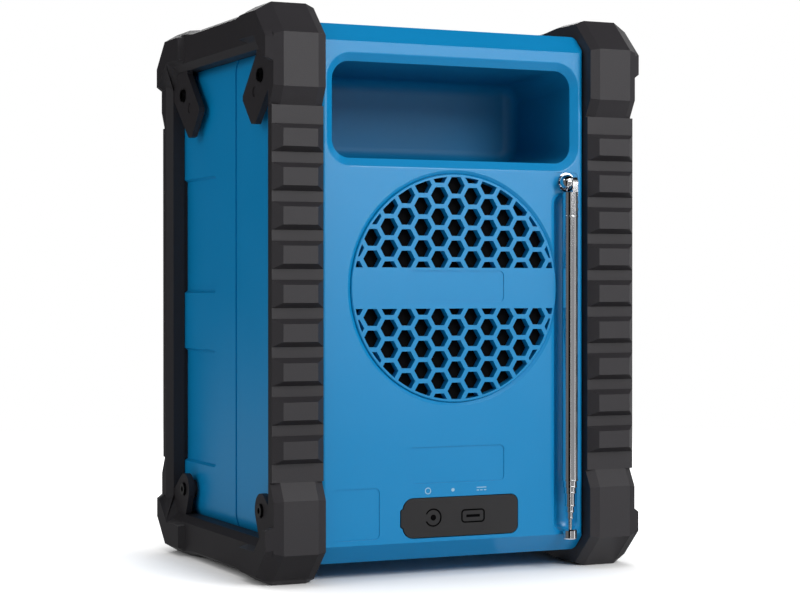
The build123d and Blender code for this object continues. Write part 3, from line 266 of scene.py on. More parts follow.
@dataclass(frozen=True)
class Rubber:
    """Soft rubber: matt, with a faint sheen at grazing angles."""

    name: str
    colour: Colour
    roughness: float = 0.62
    grain: float = 0.3 * MM
    grain_height: float = 0.015 * MM
    specular: float = 0.4
    sheen: float = 0.04
    dust_size: float = 14 * MM
    dust_colour: float = 1.25
    dust_roughness: float = 0.12

    def build(self) -> bpy.types.Material:
        """Makes the material: noise for the skin and for dusty roughness."""
        shader = Shader(self.name)
        fine = shader.noise(self.grain, 1.0)
        broad = shader.noise(self.dust_size, 3.0)
        return shader.surface(
            {
                "Base Color": shader.mix(
                    broad, self.colour, shaded(self.colour, self.dust_colour)
                ),
                "Roughness": self.roughness + self.dust_roughness * (broad - 0.5),
                "Sheen Weight": self.sheen,
                "Specular IOR Level": self.specular,
                "Normal": shader.bump(fine, self.grain_height),
            }
        )


@dataclass(frozen=True)
class Metal:
    """Bare or plated metal."""

    name: str
    colour: Colour
    roughness: float = 0.12
    smear: float = 0.04
    smear_size: float = 9 * MM

    def build(self) -> bpy.types.Material:
        """Makes the material: noise smears the roughness, as finger marks do."""
        shader = Shader(self.name)
        smear = shader.noise(self.smear_size, 4.0)
        return shader.surface(
            {
                "Base Color": (*self.colour, 1.0),
                "Metallic": 1.0,
                "Roughness": self.roughness + 2 * self.smear * (smear - 0.5),
            }
        )


@dataclass(frozen=True)
class Weave:
    """Open black cloth over a grille."""

    name: str
    colour: Colour
    thread: float = 0.5 * MM
    thread_height: float = 0.08 * MM
    roughness: float = 0.9
    specular: float = 0.12

    def build(self) -> bpy.types.Material:
        """Makes the material: two crossed sine waves stand for the threads, and the low parts
        between them are painted darker as painted shade.
        """
        shader = Shader(self.name)
        across = shader.add("ShaderNodeSeparateXYZ", None, {0: shader.place()})
        turn = 2 * math.pi / self.thread
        x = Signal(shader, across.outputs[0]) * turn
        z = Signal(shader, across.outputs[2]) * turn
        height = x.maths("SINE", x) * z.maths("SINE", z) * 0.5 + 0.5
        return shader.surface(
            {
                # Painted shade: the hollows of the weave drop to half the colour.
                "Base Color": shader.mix(height, shaded(self.colour, 0.5), self.colour),
                "Roughness": self.roughness,
                "Specular IOR Level": self.specular,
                "Normal": shader.bump(height, self.thread_height),
            }
        )


@dataclass(frozen=True)
class Gloss:
    """Smooth glossy plastic, lacquer or film."""

    name: str
    colour: Colour
    roughness: float = 0.12
    coat: float = 0.0

    def build(self) -> bpy.types.Material:
        """Makes the material."""
        return Shader(self.name).surface(
            {
                "Base Color": (*self.colour, 1.0),
                "Roughness": self.roughness,
                "Coat Weight": self.coat,
            }
        )


@dataclass(frozen=True)
class ClearWindow:
    """Smoked clear plastic: partly see-through by alpha."""

    name: str
    colour: Colour
    alpha: float
    roughness: float = 0.06

    def build(self) -> bpy.types.Material:
        """Makes the material."""
        return Shader(self.name).surface(
            {
                "Base Color": (*self.colour, 1.0),
                "Roughness": self.roughness,
                "Alpha": self.alpha,
            }
        )


BLUE = from_screen(4, 132, 190)
DARK = from_screen(47, 45, 48)

FINISHES: dict[str, Any] = {
    "blue_shell": MouldedPlastic("satin_blue", BLUE, 0.30, 0.03, specular=0.40),
    "guard_dark": MouldedPlastic("guard_grey", DARK, 0.52, 0.05, 0.6 * MM, 0.03 * MM, 0.30),
    "rubber_black": Rubber("soft_black", from_screen(26, 25, 27)),
    "steel_screw": Metal("blackened_steel", from_screen(62, 62, 64), 0.32),
    "cloth_black": Weave("black_weave", from_screen(5, 5, 6)),
    "black_plastic": MouldedPlastic("black_plastic", from_screen(34, 34, 36), 0.5, 0.04),
    "cone_grey": MouldedPlastic("pressed_paper", from_screen(58, 58, 60), 0.8, 0.08, 0.8 * MM),
    "grille_metal": MouldedPlastic("powder_coat", from_screen(38, 38, 41), 0.45, 0.03),
    "ring_dark": MouldedPlastic("satin_graphite", from_screen(56, 56, 60), 0.35, 0.03),
    "steel_frame": Metal("plated_steel", from_screen(190, 190, 192), 0.28),
    "lens_clear": ClearWindow("smoked_window", from_screen(18, 21, 24), 0.30),
    "display_dark": Gloss("display_glass", from_screen(150, 170, 156), 0.2),
    "board_green": Gloss("solder_mask", from_screen(22, 92, 52), 0.3, 0.4),
    "cell_wrap": Gloss("shrink_film", from_screen(58, 66, 92), 0.25),
    "chrome": Metal("bright_chrome", from_screen(226, 227, 230), 0.07, 0.02),
    "button_grey": Rubber("button_rubber", from_screen(92, 94, 98), 0.55),
}

# The pocket's blue is the shell's blue darkened to 0.6: painted shade in the recess.
POCKET_PAINTED_SHADE_FINISH = MouldedPlastic("pocket_blue_painted_shade", shaded(BLUE, 0.60), 0.5, 0.03, specular=0.22)


# ------------------------------------------------------------------------------ the solids
@dataclass
class SoftEdges:
    """Rounds the sharp edges of a solid's mesh by modifiers, which leave the mesh as it is."""

    width: float = 0.5 * MM
    segments: int = 2
    angle: float = 24.0
    flat_angle: float = 0.6
    weld_distance: float = 0.001 * MM

    def put_on(self, piece: bpy.types.Object) -> None:
        """Joins the loose triangles, clears the lines inside flat faces and rounds the edges."""
        weld = piece.modifiers.new("weld", "WELD")
        weld.merge_threshold = self.weld_distance
        flat = piece.modifiers.new("flatten", "DECIMATE")
        flat.decimate_type = "DISSOLVE"
        flat.angle_limit = math.radians(self.flat_angle)
        bevel = piece.modifiers.new("round", "BEVEL")
        bevel.width = self.width
        bevel.segments = self.segments
        bevel.limit_method = "ANGLE"
        bevel.angle_limit = math.radians(self.angle)
        bevel.use_clamp_overlap = True
        bevel.harden_normals = False
        smooth = piece.modifiers.new("shade", "WEIGHTED_NORMAL")
        smooth.keep_sharp = True


@dataclass
class Solids:
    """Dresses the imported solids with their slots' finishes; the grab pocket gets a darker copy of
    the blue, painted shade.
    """

    edge_widths: dict[str, float] = field(
        default_factory=lambda: {
            "guard_right": 0.9 * MM,
            "guard_left": 0.9 * MM,
            "front_shell": 0.3 * MM,
            "rear_shell": 0.3 * MM,
            "port_cover": 0.5 * MM,
            "rear_grille": 0.25 * MM,
            "fascia": 0.3 * MM,
        }
    )

    def dress(self, materials: dict[str, bpy.types.Material]) -> None:
        """Gives every node the material of its slot, except the grab pocket, whose blue is darkened
        to 0.6 as painted shade.

        Args:
            materials: finished materials by slot name.
        """
        slots = {row["node"]: row["material_slot"] for row in frame["record"]["subparts"]}
        for node, piece in frame["nodes"].items():
            piece.data.materials.clear()
            piece.data.materials.append(materials[slots[node]])
            if node in self.edge_widths:
                SoftEdges(self.edge_widths[node]).put_on(piece)
        # Painted shade: the recess gets the darker copy of the blue.
        frame["nodes"]["grab_pocket"].data.materials[0] = POCKET_PAINTED_SHADE_FINISH.build()
        LOG.info("dressed %d nodes", len(frame["nodes"]))


# ------------------------------------------------------------------------------ fine pieces
def circle(x: float, z: float, radius: float, start: float = 0.0, turn: float = 1.0) -> np.ndarray:
    """Points round an arc in X and Z: the centre plus radius times cosine and sine.

    Args:
        x: centre.
        z: centre.
        radius: radius.
        start: where it begins, in turns from +X.
        turn: how far it goes, in turns. A full turn leaves out the last point.
    """
    count = max(int(64 * turn), 8)
    angle = 2 * math.pi * (start + np.linspace(0, turn, count, endpoint=turn < 1.0))
    return np.stack([x + radius * np.cos(angle), z + radius * np.sin(angle)], axis=1)


def rounded(x: float, z: float, width: float, tall: float, radius: float) -> np.ndarray:
    """Closed outline of a rounded rectangle: each point of a circle, pushed out to its corner."""
    round_path = circle(0.0, 0.0, radius)
    push = np.array([width / 2 - radius, tall / 2 - radius])
    return np.array([x, z]) + round_path + np.sign(np.round(round_path, 9)) * push


def skin(rings: np.ndarray, closed: bool) -> tuple[np.ndarray, list[list[int]]]:
    """Closed surface over rings of points.

    rings[i, j] is point j of ring i. Quads join each ring to the next, and the last to the first
    if closed, else the two end rings are capped.
    """
    count, size = rings.shape[:2]
    index = np.arange(count * size).reshape(count, size)
    first = index if closed else index[:-1]
    second = np.roll(index, -1, axis=0) if closed else index[1:]
    quads = np.stack([first, np.roll(first, -1, 1), np.roll(second, -1, 1), second], axis=-1)
    faces = quads.reshape(-1, 4).tolist()
    if not closed:
        faces += [index[0][::-1].tolist(), index[-1].tolist()]
    return rings.reshape(-1, 3), faces


@dataclass(frozen=True)
class Wall:
    """Upright face that fine pieces lie on.

    Points are in X and Z. A height is how far they stand out of the face.
    """

    level: float
    outward: float = 1.0
    sunk: float = 0.15 * MM

    def lift(self, flat: np.ndarray, height: np.ndarray) -> np.ndarray:
        """Points of the face raised by a height."""
        flat, height = np.broadcast_to(flat, (*height.shape, 2)), np.asarray(height)
        return np.stack([flat[..., 0], self.level + self.outward * height, flat[..., 1]], axis=-1)

    def ribbon(
        self, path: np.ndarray, width: float, proud: float, closed: bool
    ) -> tuple[np.ndarray, list[list[int]]]:
        """Band along a path: each ring is the path's point plus a section across the path.

        Args:
            path: points in X and Z.
            width: width of the band.
            proud: how far it stands out.
            closed: True if the path ends where it starts.

        Returns:
            Points and faces.
        """
        if closed:
            ahead = np.roll(path, -1, axis=0) - np.roll(path, 1, axis=0)
        else:
            ahead = np.gradient(path, axis=0)
        ahead = ahead / np.linalg.norm(ahead, axis=1, keepdims=True)
        side = np.stack([-ahead[:, 1], ahead[:, 0]], axis=1)
        half, edge = width / 2, min(proud, width) / 3
        across = np.array([-half, half, half, half - edge, edge - half, -half])
        height = np.array([-self.sunk, -self.sunk, proud - edge, proud, proud, proud - edge])
        flat = path[:, None, :] + across[None, :, None] * side[:, None, :]
        return skin(self.lift(flat, np.broadcast_to(height, flat.shape[:2])), closed)

    def slab(self, outline: np.ndarray, proud: float) -> tuple[np.ndarray, list[list[int]]]:
        """Filled shape that stands out: its outline at three heights, the last drawn in."""
        middle = outline.mean(axis=0)
        reach = np.abs(outline - middle).max()
        edge = min(proud, reach) / 3
        shares = np.array([1.0, 1.0, 1.0 - edge / reach])
        height = np.array([-self.sunk, proud - edge, proud])
        flat = middle + (outline - middle)[None] * shares[:, None, None]
        return skin(self.lift(flat, np.broadcast_to(height[:, None], flat.shape[:2])), False)


def turned(radius: np.ndarray, along: np.ndarray, steps: int) -> tuple[np.ndarray, ...]:
    """A section turned about an axis: radius times cosine and sine, and the place along it.

    Args:
        radius: distance of each point of the section from the axis.
        along: place of each point along the axis.
        steps: how many sections go round.

    Returns:
        Three grids: the two across the axis and the one along it.
    """
    turn = np.linspace(0, 2 * math.pi, steps, endpoint=False)[:, None]
    return radius * np.cos(turn), radius * np.sin(turn), np.tile(along, (steps, 1))


class Gathered:
    """Closed shapes gathered into one piece."""

    def __init__(self) -> None:
        """Starts empty."""
        self.points: list[np.ndarray] = []
        self.faces: list[list[int]] = []
        self.count = 0

    def add(self, shape: tuple[np.ndarray, list[list[int]]]) -> None:
        """Adds one shape, its faces turned to look outward.

        They look outward where the sum of the corner products of its triangles, its volume, is
        above zero.
        """
        points, faces = shape
        fans = [(f[0], f[k], f[k + 1]) for f in faces for k in range(1, len(f) - 1)]
        corners = (points - points.mean(axis=0))[np.array(fans)]
        volume = np.einsum("ij,ij->", corners[:, 0], np.cross(corners[:, 1], corners[:, 2]))
        turned = faces if volume > 0 else [face[::-1] for face in faces]
        self.faces += [[index + self.count for index in face] for face in turned]
        self.points.append(points)
        self.count += len(points)

    def make(
        self, name: str, material: bpy.types.Material, body: str
    ) -> bpy.types.Object:
        """Makes the piece.

        Args:
            name: its name.
            material: its finish.
            body: the body that it moves with.

        Returns:
            The new object.
        """
        mesh = bpy.data.meshes.new(name)
        mesh.from_pydata(np.concatenate(self.points).tolist(), [], self.faces)
        mesh.materials.append(material)
        mesh.update()
        piece = bpy.data.objects.new(name, mesh)
        bpy.context.scene.collection.objects.link(piece)
        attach(piece, body)
        return piece


class Sign(Enum):
    """Plain signs on the six push buttons, from left to right."""

    POWER = 0
    LESS = 1
    MORE = 2
    BACK = 3
    FORWARD = 4
    LIST = 5


class Segment(Enum):
    """The seven bars of a digit, by their two ends as shares of its width and height."""

    TOP = ((0, 1), (1, 1))
    UPPER_RIGHT = ((1, 1), (1, 0.5))
    LOWER_RIGHT = ((1, 0.5), (1, 0))
    BOTTOM = ((0, 0), (1, 0))
    LOWER_LEFT = ((0, 0), (0, 0.5))
    UPPER_LEFT = ((0, 0.5), (0, 1))
    MIDDLE = ((0, 0.5), (1, 0.5))


@dataclass(frozen=True)
class CoverSigns:
    """Signs moulded in the port cover: a ring with a dot, and a socket's outline with a bar."""

    wall: Wall = Wall(REAR_FACE + COVER_PROUD)
    z: float = PORTS_Z
    jack_x: float = 11.3 * MM
    ring_radius: float = 3.7 * MM
    ring_gap: float = 0.14
    socket_x: float = -8.2 * MM
    socket_size: tuple[float, float] = (11.0 * MM, 5.4 * MM)
    socket_radius: float = 1.4 * MM
    bar_half: float = 3.3 * MM
    bar_line: float = 1.17 * MM
    line: float = 0.65 * MM
    proud: float = 0.16 * MM

    def build(self, material: bpy.types.Material) -> None:
        """Makes the signs, which move with the cover."""
        signs = Gathered()
        turn = 1 - self.ring_gap
        ring = circle(self.jack_x, self.z, self.ring_radius, self.ring_gap / 2, turn)
        signs.add(self.wall.ribbon(ring, self.line, self.proud, False))
        signs.add(self.wall.slab(circle(self.jack_x, self.z, 2 * self.line), self.proud))
        outline = rounded(self.socket_x, self.z, *self.socket_size, self.socket_radius)
        signs.add(self.wall.ribbon(outline, self.line, self.proud, True))
        ends = (self.socket_x - self.bar_half, self.socket_x + self.bar_half)
        bar = np.array([(x, self.z) for x in ends])
        signs.add(self.wall.ribbon(bar, self.bar_line, self.proud, False))
        signs.make("cover_signs", material, "port_cover")


@dataclass(frozen=True)
class PortSigns:
    """Small signs printed over the ports, each over what it stands for."""

    wall: Wall = Wall(REAR_FACE)
    z: float = 38.3 * MM
    ring_x: float = 13.8 * MM
    dot_x: float = 1.6 * MM
    bars_x: float = -12.5 * MM
    bars: tuple[tuple[float, float, float], ...] = (
        (-2.4, 2.4, 0.6), (-2.4, -1.2, -0.6), (-0.6, 0.6, -0.6), (1.2, 2.4, -0.6),
    )
    tall: float = 2.6 * MM
    dot_radius: float = 0.78 * MM
    line: float = 0.38 * MM
    proud: float = 0.05 * MM

    def build(self, material: bpy.types.Material) -> None:
        """Makes the signs: a ring, a dot, and a bar over a broken bar."""
        signs = Gathered()
        ring = circle(self.ring_x, self.z, self.tall / 2)
        signs.add(self.wall.ribbon(ring, self.line, self.proud, True))
        signs.add(self.wall.slab(circle(self.dot_x, self.z, self.dot_radius), self.proud))
        for low, high, lift in self.bars:
            ends = np.array([(low, lift), (high, lift)]) * MM
            path = np.array([self.bars_x, self.z]) + ends
            signs.add(self.wall.ribbon(path, self.line, self.proud, False))
        signs.make("port_signs", material, "housing")


@dataclass(frozen=True)
class DialTicks:
    """Scale printed on the fascia round both knobs, open at the bottom."""

    wall: Wall = Wall(FASCIA_FACE, -1.0)
    centres: tuple[tuple[float, float], ...] = KNOB_CENTRES
    inner: float = 16.6 * MM
    short: float = 1.2 * MM
    long: float = 2.2 * MM
    count: int = 21
    opening: float = 0.25
    line: float = 0.5 * MM
    proud: float = 0.05 * MM

    def build(self, material: bpy.types.Material) -> None:
        """Makes the ticks: every fifth is longer, and they leave a quarter turn open."""
        ticks = Gathered()
        for x, z in self.centres:
            for index in range(self.count):
                share = index / (self.count - 1)
                angle = 2 * math.pi * (0.75 + self.opening / 2 + share * (1 - self.opening))
                reach = self.inner + (self.short if index % 5 else self.long)
                way = np.array([math.cos(angle), math.sin(angle)])
                path = np.array([x, z]) + np.outer((self.inner, reach), way)
                ticks.add(self.wall.ribbon(path, self.line, self.proud, False))
        ticks.make("dial_ticks", material, "housing")


@dataclass(frozen=True)
class Readout:
    """Digits and small bars on the display behind its window."""

    wall: Wall = Wall(-66.5 * MM, -1.0)
    middle: tuple[float, float] = (-6.0 * MM, 202.4 * MM)
    digits: str = "1042"
    size: tuple[float, float] = (6.4 * MM, 13.0 * MM)
    pitch: float = 11.0 * MM
    line: float = 1.3 * MM
    gap: float = 0.35 * MM
    proud: float = 0.06 * MM
    dot_radius: float = 0.9 * MM
    dot_lifts: tuple[float, float] = (-0.22, 0.22)
    bars: int = 5
    bars_shift: float = 22.5 * MM
    bar_pitch: float = 2.6 * MM
    bar_line: float = 1.4 * MM
    bar_low: float = 2.5 * MM
    bar_rise: float = 2.2 * MM

    def lit(self, digit: str) -> list[Segment]:
        """The bars that show one digit."""
        dark = {
            "0": {Segment.MIDDLE},
            "1": {Segment.TOP, Segment.BOTTOM, Segment.LOWER_LEFT, Segment.UPPER_LEFT,
                  Segment.MIDDLE},
            "2": {Segment.LOWER_RIGHT, Segment.UPPER_LEFT},
            "4": {Segment.TOP, Segment.BOTTOM, Segment.LOWER_LEFT},
        }[digit]
        return [segment for segment in Segment if segment not in dark]

    def build(self, material: bpy.types.Material) -> None:
        """Makes the digits, a colon after the second one, and a row of rising bars."""
        shown = Gathered()
        size = np.array(self.size)
        for index, digit in enumerate(self.digits):
            shift = (index - (len(self.digits) - 1) / 2) * self.pitch
            corner = np.array(self.middle) + (shift, 0) - size / 2
            for segment in self.lit(digit):
                ends = corner + np.array(segment.value) * size
                way = (ends[1] - ends[0]) / np.linalg.norm(ends[1] - ends[0])
                trim = (self.line / 2 + self.gap) * way
                path = np.array([ends[0] + trim, ends[1] - trim])
                shown.add(self.wall.ribbon(path, self.line, self.proud, False))
        for lift in self.dot_lifts:
            dot_z = self.middle[1] + lift * self.size[1]
            dot = circle(self.middle[0], dot_z, self.dot_radius)
            shown.add(self.wall.slab(dot, self.proud))
        base = self.middle[1] - self.size[1] / 2
        for index in range(self.bars):
            x = self.middle[0] + self.bars_shift + index * self.bar_pitch
            path = np.array([(x, base), (x, base + self.bar_low + index * self.bar_rise)])
            shown.add(self.wall.ribbon(path, self.bar_line, self.proud, False))
        shown.make("readout", material, "housing")


@dataclass(frozen=True)
class ButtonSigns:
    """Plain signs on the push buttons."""

    wall: Wall = Wall(-71.2 * MM, -1.0)
    pitch: float = 16.0 * MM
    z: float = 178.0 * MM
    tall: float = 3.4 * MM
    line: float = 0.55 * MM
    proud: float = 0.06 * MM

    def shapes(self, sign: Sign, x: float) -> Iterable[tuple[np.ndarray, list[list[int]]]]:
        """The shapes of one sign about x."""
        half = self.tall / 2
        level = np.array([(x - half, self.z), (x + half, self.z)])
        upright = np.array([(x, self.z - half), (x, self.z + half)])
        if sign is Sign.POWER:
            ring = circle(x, self.z, 0.85 * half, 0.35, 0.80)
            yield self.wall.ribbon(ring, self.line, self.proud, False)
            yield self.wall.ribbon(upright + (0, 0.8 * half), self.line, self.proud, False)
        if sign in (Sign.LESS, Sign.MORE):
            yield self.wall.ribbon(level, self.line, self.proud, False)
        if sign is Sign.MORE:
            yield self.wall.ribbon(upright, self.line, self.proud + 0.01 * MM, False)
        if sign in (Sign.BACK, Sign.FORWARD):
            way = 1 if sign is Sign.FORWARD else -1
            corners = np.array([(-0.6, -1.0), (0.9, 0.0), (-0.6, 1.0)]) * (way * half, half)
            yield self.wall.slab(np.array([x, self.z]) + corners, self.proud)
        if sign is Sign.LIST:
            for lift in (-0.75, 0.0, 0.75):
                yield self.wall.ribbon(level + (0, lift * half), self.line, self.proud, False)

    def build(self, material: bpy.types.Material) -> None:
        """Makes one piece for each button, which moves with it."""
        for sign in Sign:
            x = (sign.value - (len(Sign) - 1) / 2) * self.pitch
            shown = Gathered()
            for shape in self.shapes(sign, x):
                shown.add(shape)
            number = sign.value + 1
            shown.make(f"button_sign_{number}", material, f"button_{number}")


@dataclass(frozen=True)
class PortMetal:
    """Bright ring round the jack's bore."""

    floor: Wall = Wall(WELL_FLOOR)
    z: float = PORTS_Z
    jack_x: float = 13.5 * MM
    ring_radius: float = 2.7 * MM
    ring_width: float = 1.1 * MM
    ring_proud: float = 0.3 * MM

    def build(self, material: bpy.types.Material) -> None:
        """Makes the ring."""
        ring = Gathered()
        path = circle(self.jack_x, self.z, self.ring_radius)
        ring.add(self.floor.ribbon(path, self.ring_width, self.ring_proud, True))
        ring.make("jack_ring", material, "housing")


@dataclass(frozen=True)
class AntennaBeads:
    """Rolled beads round the antenna's tubes, at the mast's top and at each tube's open end."""

    axis: tuple[float, float] = ANTENNA_AXIS
    tube_radius: float = 3.5 * MM
    tube_step: float = 0.43 * MM
    ends: tuple[float, ...] = (40.4, 37.5, 34.8, 28.9, 26.2, 23.4)
    end_lift: float = 0.45 * MM
    top_beads: tuple[float, ...] = (159.8, 162.9, 166.2)
    half_height: float = 0.42 * MM
    proud: float = 0.18 * MM

    def bead(self, z: float, radius: float) -> tuple[np.ndarray, list[list[int]]]:
        """One bead: a half-round profile of radius and height, turned about the axis."""
        swell = np.linspace(-math.pi / 2, math.pi / 2, 7)
        reach = np.concatenate([radius + self.proud * np.cos(swell), [radius - 0.2 * MM] * 2])
        height = z + self.half_height * np.concatenate([np.sin(swell), [1.0, -1.0]])
        x, y, z = turned(reach, height, 48)
        return skin(np.stack([self.axis[0] + x, self.axis[1] + y, z], axis=-1), True)

    def build(self, material: bpy.types.Material) -> None:
        """Makes the beads of each tube, which move with it."""
        for index, end in enumerate(self.ends):
            beads = Gathered()
            radius = self.tube_radius - index * self.tube_step
            beads.add(self.bead(end * MM + self.end_lift, radius))
            body = f"antenna_section_{index + 1}" if index else "antenna_mast"
            for z in () if index else self.top_beads:
                beads.add(self.bead(z * MM, radius))
            piece = beads.make(f"beads_{index + 1}", material, body)
            piece.data.shade_smooth()


@dataclass(frozen=True)
class GrilleGasket:
    """Foam ring behind the front grille: a sleeve in the shell's bore and a flange before it."""

    z: float = 79.0 * MM
    section: tuple[tuple[float, float], ...] = (
        (45.60, -63.40), (45.60, -67.25), (49.10, -67.25),
        (49.10, -66.83), (45.95, -66.83), (45.95, -63.40),
    )

    def build(self, material: bpy.types.Material) -> None:
        """Makes the ring from its section, which gives radius and Y."""
        radius, along = np.array(self.section).T * MM
        x, z, y = turned(radius, along, 96)
        gasket = Gathered()
        gasket.add(skin(np.stack([x, y, self.z + z], axis=-1), True))
        gasket.make("grille_gasket", material, "housing")


PRINT = Gloss("pale_print", from_screen(150, 190, 214), 0.5)
WHITE_PRINT = Gloss("white_print", from_screen(206, 208, 210), 0.5)
INK = Gloss("display_ink", from_screen(20, 24, 22), 0.4)
FOAM = Rubber("black_foam", from_screen(12, 12, 13), 0.9)
MOULDED = MouldedPlastic("moulded_sign", from_screen(5, 5, 6), 0.9, specular=0.05)


def add_fine_pieces(materials: dict[str, bpy.types.Material]) -> None:
    """Builds every piece that is too fine for the solids.

    Args:
        materials: finished materials by slot name.
    """
    CoverSigns().build(MOULDED.build())
    PortSigns().build(PRINT.build())
    white = WHITE_PRINT.build()
    DialTicks().build(white)
    ButtonSigns().build(white)
    Readout().build(INK.build())
    PortMetal().build(materials["chrome"])
    AntennaBeads().build(materials["chrome"])
    GrilleGasket().build(FOAM.build())


# ------------------------------------------------------------------------------ studio
class Ray(Enum):
    """Kinds of ray that see the white background as it is."""

    CAMERA = "Is Camera Ray"
    MIRROR = "Is Glossy Ray"
    CLEAR = "Is Transmission Ray"


@dataclass(frozen=True)
class Lamp:
    """One soft square light, aimed at the middle of the object."""

    name: str
    place: tuple[float, float, float]
    size: float
    power: float

    def build(self, aim: Sequence[float]) -> None:
        """Adds the light, facing the aim."""
        data = bpy.data.lights.new(self.name, "AREA")
        data.shape = "SQUARE"
        data.size = self.size
        data.energy = self.power
        light = bpy.data.objects.new(self.name, data)
        bpy.context.scene.collection.objects.link(light)
        light.location = self.place
        light.rotation_mode = "QUATERNION"
        light.rotation_quaternion = (Vector(aim) - light.location).to_track_quat("-Z", "Y")


def add_card(name: str, points: np.ndarray, faces: np.ndarray, level: float) -> None:
    """Adds a glowing sheet that only mirrors see.

    Args:
        name: its name.
        points: its points.
        faces: its quads.
        level: how brightly it glows.
    """
    mesh = bpy.data.meshes.new(name)
    mesh.from_pydata(points.tolist(), [], faces.tolist())
    shader = Shader(name)
    glow = shader.add("ShaderNodeEmission", None, {"Strength": level})
    shader.add("ShaderNodeOutputMaterial", None, {"Surface": glow.outputs[0]})
    mesh.materials.append(shader.material)
    card = bpy.data.objects.new(name, mesh)
    bpy.context.scene.collection.objects.link(card)
    card.visible_camera = False
    card.visible_diffuse = False
    card.visible_transmission = False
    card.visible_volume_scatter = False
    card.visible_shadow = False


@dataclass(frozen=True)
class Card:
    """Flat board that only mirrors see, so that what faces it isn't washed out."""

    name: str
    middle: tuple[float, float, float]
    across: tuple[float, float, float]
    up: tuple[float, float, float]
    level: float = 0.0

    def build(self) -> None:
        """Adds the card: its corners are the middle plus and minus half of across and up."""
        middle, across, up = (np.array(v) for v in (self.middle, self.across, self.up))
        signs = np.array([(-1, -1), (1, -1), (1, 1), (-1, 1)])
        corners = middle + signs[:, :1] * across / 2 + signs[:, 1:] * up / 2
        add_card(self.name, corners, np.array([(0, 1, 2, 3)]), self.level)


@dataclass(frozen=True)
class Screen:
    """Board bent round the antenna that only mirrors see: it runs along the ground, then up.

    Angles are in degrees from +X towards +Y. A screen without ground begins at its upright part.
    The screens give the antenna its dark and bright lines and the shell its highlight.
    """

    name: str
    start: float
    end: float
    level: float
    ground: bool = True
    centre: tuple[float, float] = (-0.055, 0.075)
    near: float = 0.03
    far: float = 1.7
    lift: float = 0.002
    top: float = 0.9
    steps: int = 9

    def build(self) -> None:
        """Adds the screen: its profile of radius and height, turned about the centre."""
        angle = np.radians(np.linspace(self.start, self.end, self.steps))
        profile = np.array([(self.far, self.lift), (self.far, self.top)])
        if self.ground:
            profile = np.concatenate([[(self.near, self.lift)], profile])
        radius, height = profile[None, :, 0], profile[None, :, 1]
        x = self.centre[0] + radius * np.cos(angle)[:, None]
        y = self.centre[1] + radius * np.sin(angle)[:, None]
        points = np.stack([x, y, np.broadcast_to(height, x.shape)], axis=-1)
        index = np.arange(points[..., 0].size).reshape(x.shape)
        quads = np.stack([index[:-1, :-1], index[1:, :-1], index[1:, 1:], index[:-1, 1:]], axis=-1)
        add_card(self.name, points.reshape(-1, 3), quads.reshape(-1, 4), self.level)


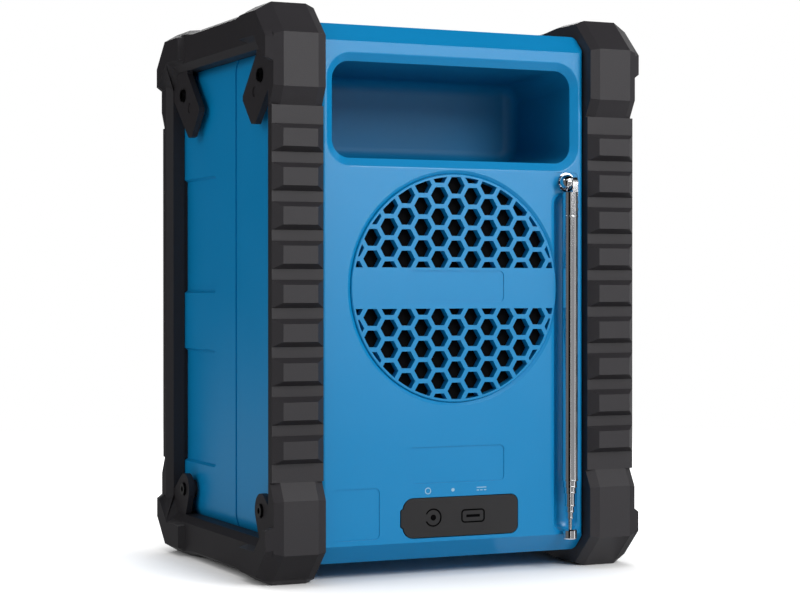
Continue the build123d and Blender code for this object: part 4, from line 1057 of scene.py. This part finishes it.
@dataclass
class Studio:
    """Pale floor and backdrop, soft lights, cards, screens and the camera."""

    floor_size: float = 12.0
    floor_white: float = 0.94
    floor_bounce: float = 0.88
    floor_glow: float = 0.78
    shade_reach: float = 0.12
    near: float = 0.35
    far: float = 0.90
    world_level: float = 0.36
    aim: tuple[float, float, float] = (0.0, 0.0, 0.12)
    camera_place: tuple[float, float, float] = (0.39318, 0.87400, 0.12808)
    camera_aim: tuple[float, float, float] = (-0.41468, -0.90994, -0.00663)
    lens: float = 91.0
    lamps: tuple[Lamp, ...] = (
        Lamp("key", (-0.48, 1.52, 1.05), 0.80, 20.5),
        Lamp("front", (-0.35, -1.60, 1.00), 1.0, 16.0),
        Lamp("side", (1.60, 0.10, 0.90), 0.8, 5.0),
    )
    cards: tuple[Card, ...] = (
        Card("dark_top", (0.0, 0.0, 1.45), (3.0, 0.0, 0.0), (0.0, 3.0, 0.0)),
    )
    screens: tuple[Screen, ...] = (
        Screen("front_ground", -110.0, -28.0, 0.22, far=1.65, top=0.004),
        Screen("dark_front", -110.0, -28.0, 0.0, False, top=1.4),
        Screen("grey_side", -28.0, 32.0, 0.15, top=1.4),
        Screen("dim_side", 32.0, 48.0, 0.05, top=1.4),
        Screen("black_line", 48.0, 70.0, 0.0),
        Screen("upper_band", 74.0, 139.0, 0.15, False, lift=0.50, top=1.2),
        Screen("pale_band", 74.0, 139.0, 0.30, top=0.27),
        Screen("sheen", 84.0, 134.0, 7.5, False, far=1.6, lift=0.27, top=0.44),
        Screen("dark_line", 149.0, 171.0, 0.02),
        Screen("grey_edge", 171.0, 205.0, 0.25),
    )

    def seen(self, shader: Shader) -> Signal:
        """1 on rays from the camera and on mirror or clear rays, else 0."""
        path = shader.add("ShaderNodeLightPath")
        rays = [Signal(shader, path.outputs[ray.value]) for ray in Ray]
        return (rays[0] + rays[1] + rays[2]).clamped()

    def build_floor(self) -> None:
        """A plane that is white far off, and near the object keeps its soft shadow.

        Its light is its own glow, which closed-in places lose, plus the light that falls on it.
        It throws less light back on the object than it shows.
        Between the near and the far radius it turns into plain white for the rays that see it.
        """
        half = self.floor_size / 2
        mesh = bpy.data.meshes.new("floor")
        corners = [(-half, -half, 0), (half, -half, 0), (half, half, 0), (-half, half, 0)]
        mesh.from_pydata(corners, [], [(0, 1, 2, 3)])
        floor = bpy.data.objects.new("floor", mesh)
        bpy.context.scene.collection.objects.link(floor)
        shader = Shader("floor_white")
        seen = self.seen(shader)
        shade = shader.add("ShaderNodeAmbientOcclusion", {"samples": 8},
                           {"Distance": self.shade_reach})
        open_share = Signal(shader, shade.outputs["AO"])
        radius = shader.add("ShaderNodeVectorMath", {"operation": "LENGTH"}, {0: shader.place()})
        reach = Signal(shader, radius.outputs["Value"])
        off = ((reach - self.near) * (1 / (self.far - self.near))).clamped()
        paints = [
            shader.add("ShaderNodeBsdfDiffuse", None, {"Color": (level,) * 3 + (1.0,)})
            for level in (self.floor_bounce, self.floor_white)
        ]
        paint = shader.add("ShaderNodeMixShader", None,
                           {0: seen, 1: paints[0].outputs[0], 2: paints[1].outputs[0]})
        glow = shader.add("ShaderNodeEmission", None,
                          {"Strength": seen * open_share * open_share * self.floor_glow})
        near_floor = shader.add("ShaderNodeAddShader", None, {0: paint.outputs[0],
                                                              1: glow.outputs[0]})
        white = shader.add("ShaderNodeEmission", None, {"Strength": 1.0})
        floor_mix = shader.add("ShaderNodeMixShader", None,
                               {0: off * seen, 1: near_floor.outputs[0], 2: white.outputs[0]})
        shader.add("ShaderNodeOutputMaterial", None, {"Surface": floor_mix.outputs[0]})
        mesh.materials.append(shader.material)

    def build_world(self) -> None:
        """White seen directly or in a mirror, and an even grey light on all else."""
        world = bpy.data.worlds.new("studio_world")
        bpy.context.scene.world = world
        world.use_nodes = True
        shader = Shader.on_tree(world.node_tree)
        strength = self.world_level + (1 - self.world_level) * self.seen(shader)
        back = shader.add("ShaderNodeBackground", None, {0: (1, 1, 1, 1), 1: strength})
        shader.add("ShaderNodeOutputWorld", None, {0: back.outputs[0]})

    def build_camera(self) -> None:
        """Camera at the main view: it looks at the rear from the object's left."""
        data = bpy.data.cameras.new("camera")
        data.lens = self.lens
        data.sensor_width = 36.0
        data.clip_start = 0.01
        camera = bpy.data.objects.new("camera", data)
        bpy.context.scene.collection.objects.link(camera)
        camera.location = self.camera_place
        camera.rotation_mode = "QUATERNION"
        camera.rotation_quaternion = Vector(self.camera_aim).to_track_quat("-Z", "Y")
        bpy.context.scene.camera = camera

    def build(self) -> None:
        """Builds the whole studio."""
        self.build_floor()
        self.build_world()
        for lamp in self.lamps:
            lamp.build(self.aim)
        for card in (*self.cards, *self.screens):
            card.build()
        self.build_camera()
        bpy.context.scene.view_settings.view_transform = "Standard"
        LOG.info("studio: %d lamps, %d screens", len(self.lamps), len(self.screens))


def main() -> None:
    """Builds every group in order."""
    logging.basicConfig(level=logging.INFO, format="%(name)s: %(message)s")
    materials = {slot: finish.build() for slot, finish in FINISHES.items()}
    Solids().dress(materials)
    add_fine_pieces(materials)
    Studio().build()
    bpy.context.view_layer.update()


if __name__ == "__main__":
    main()
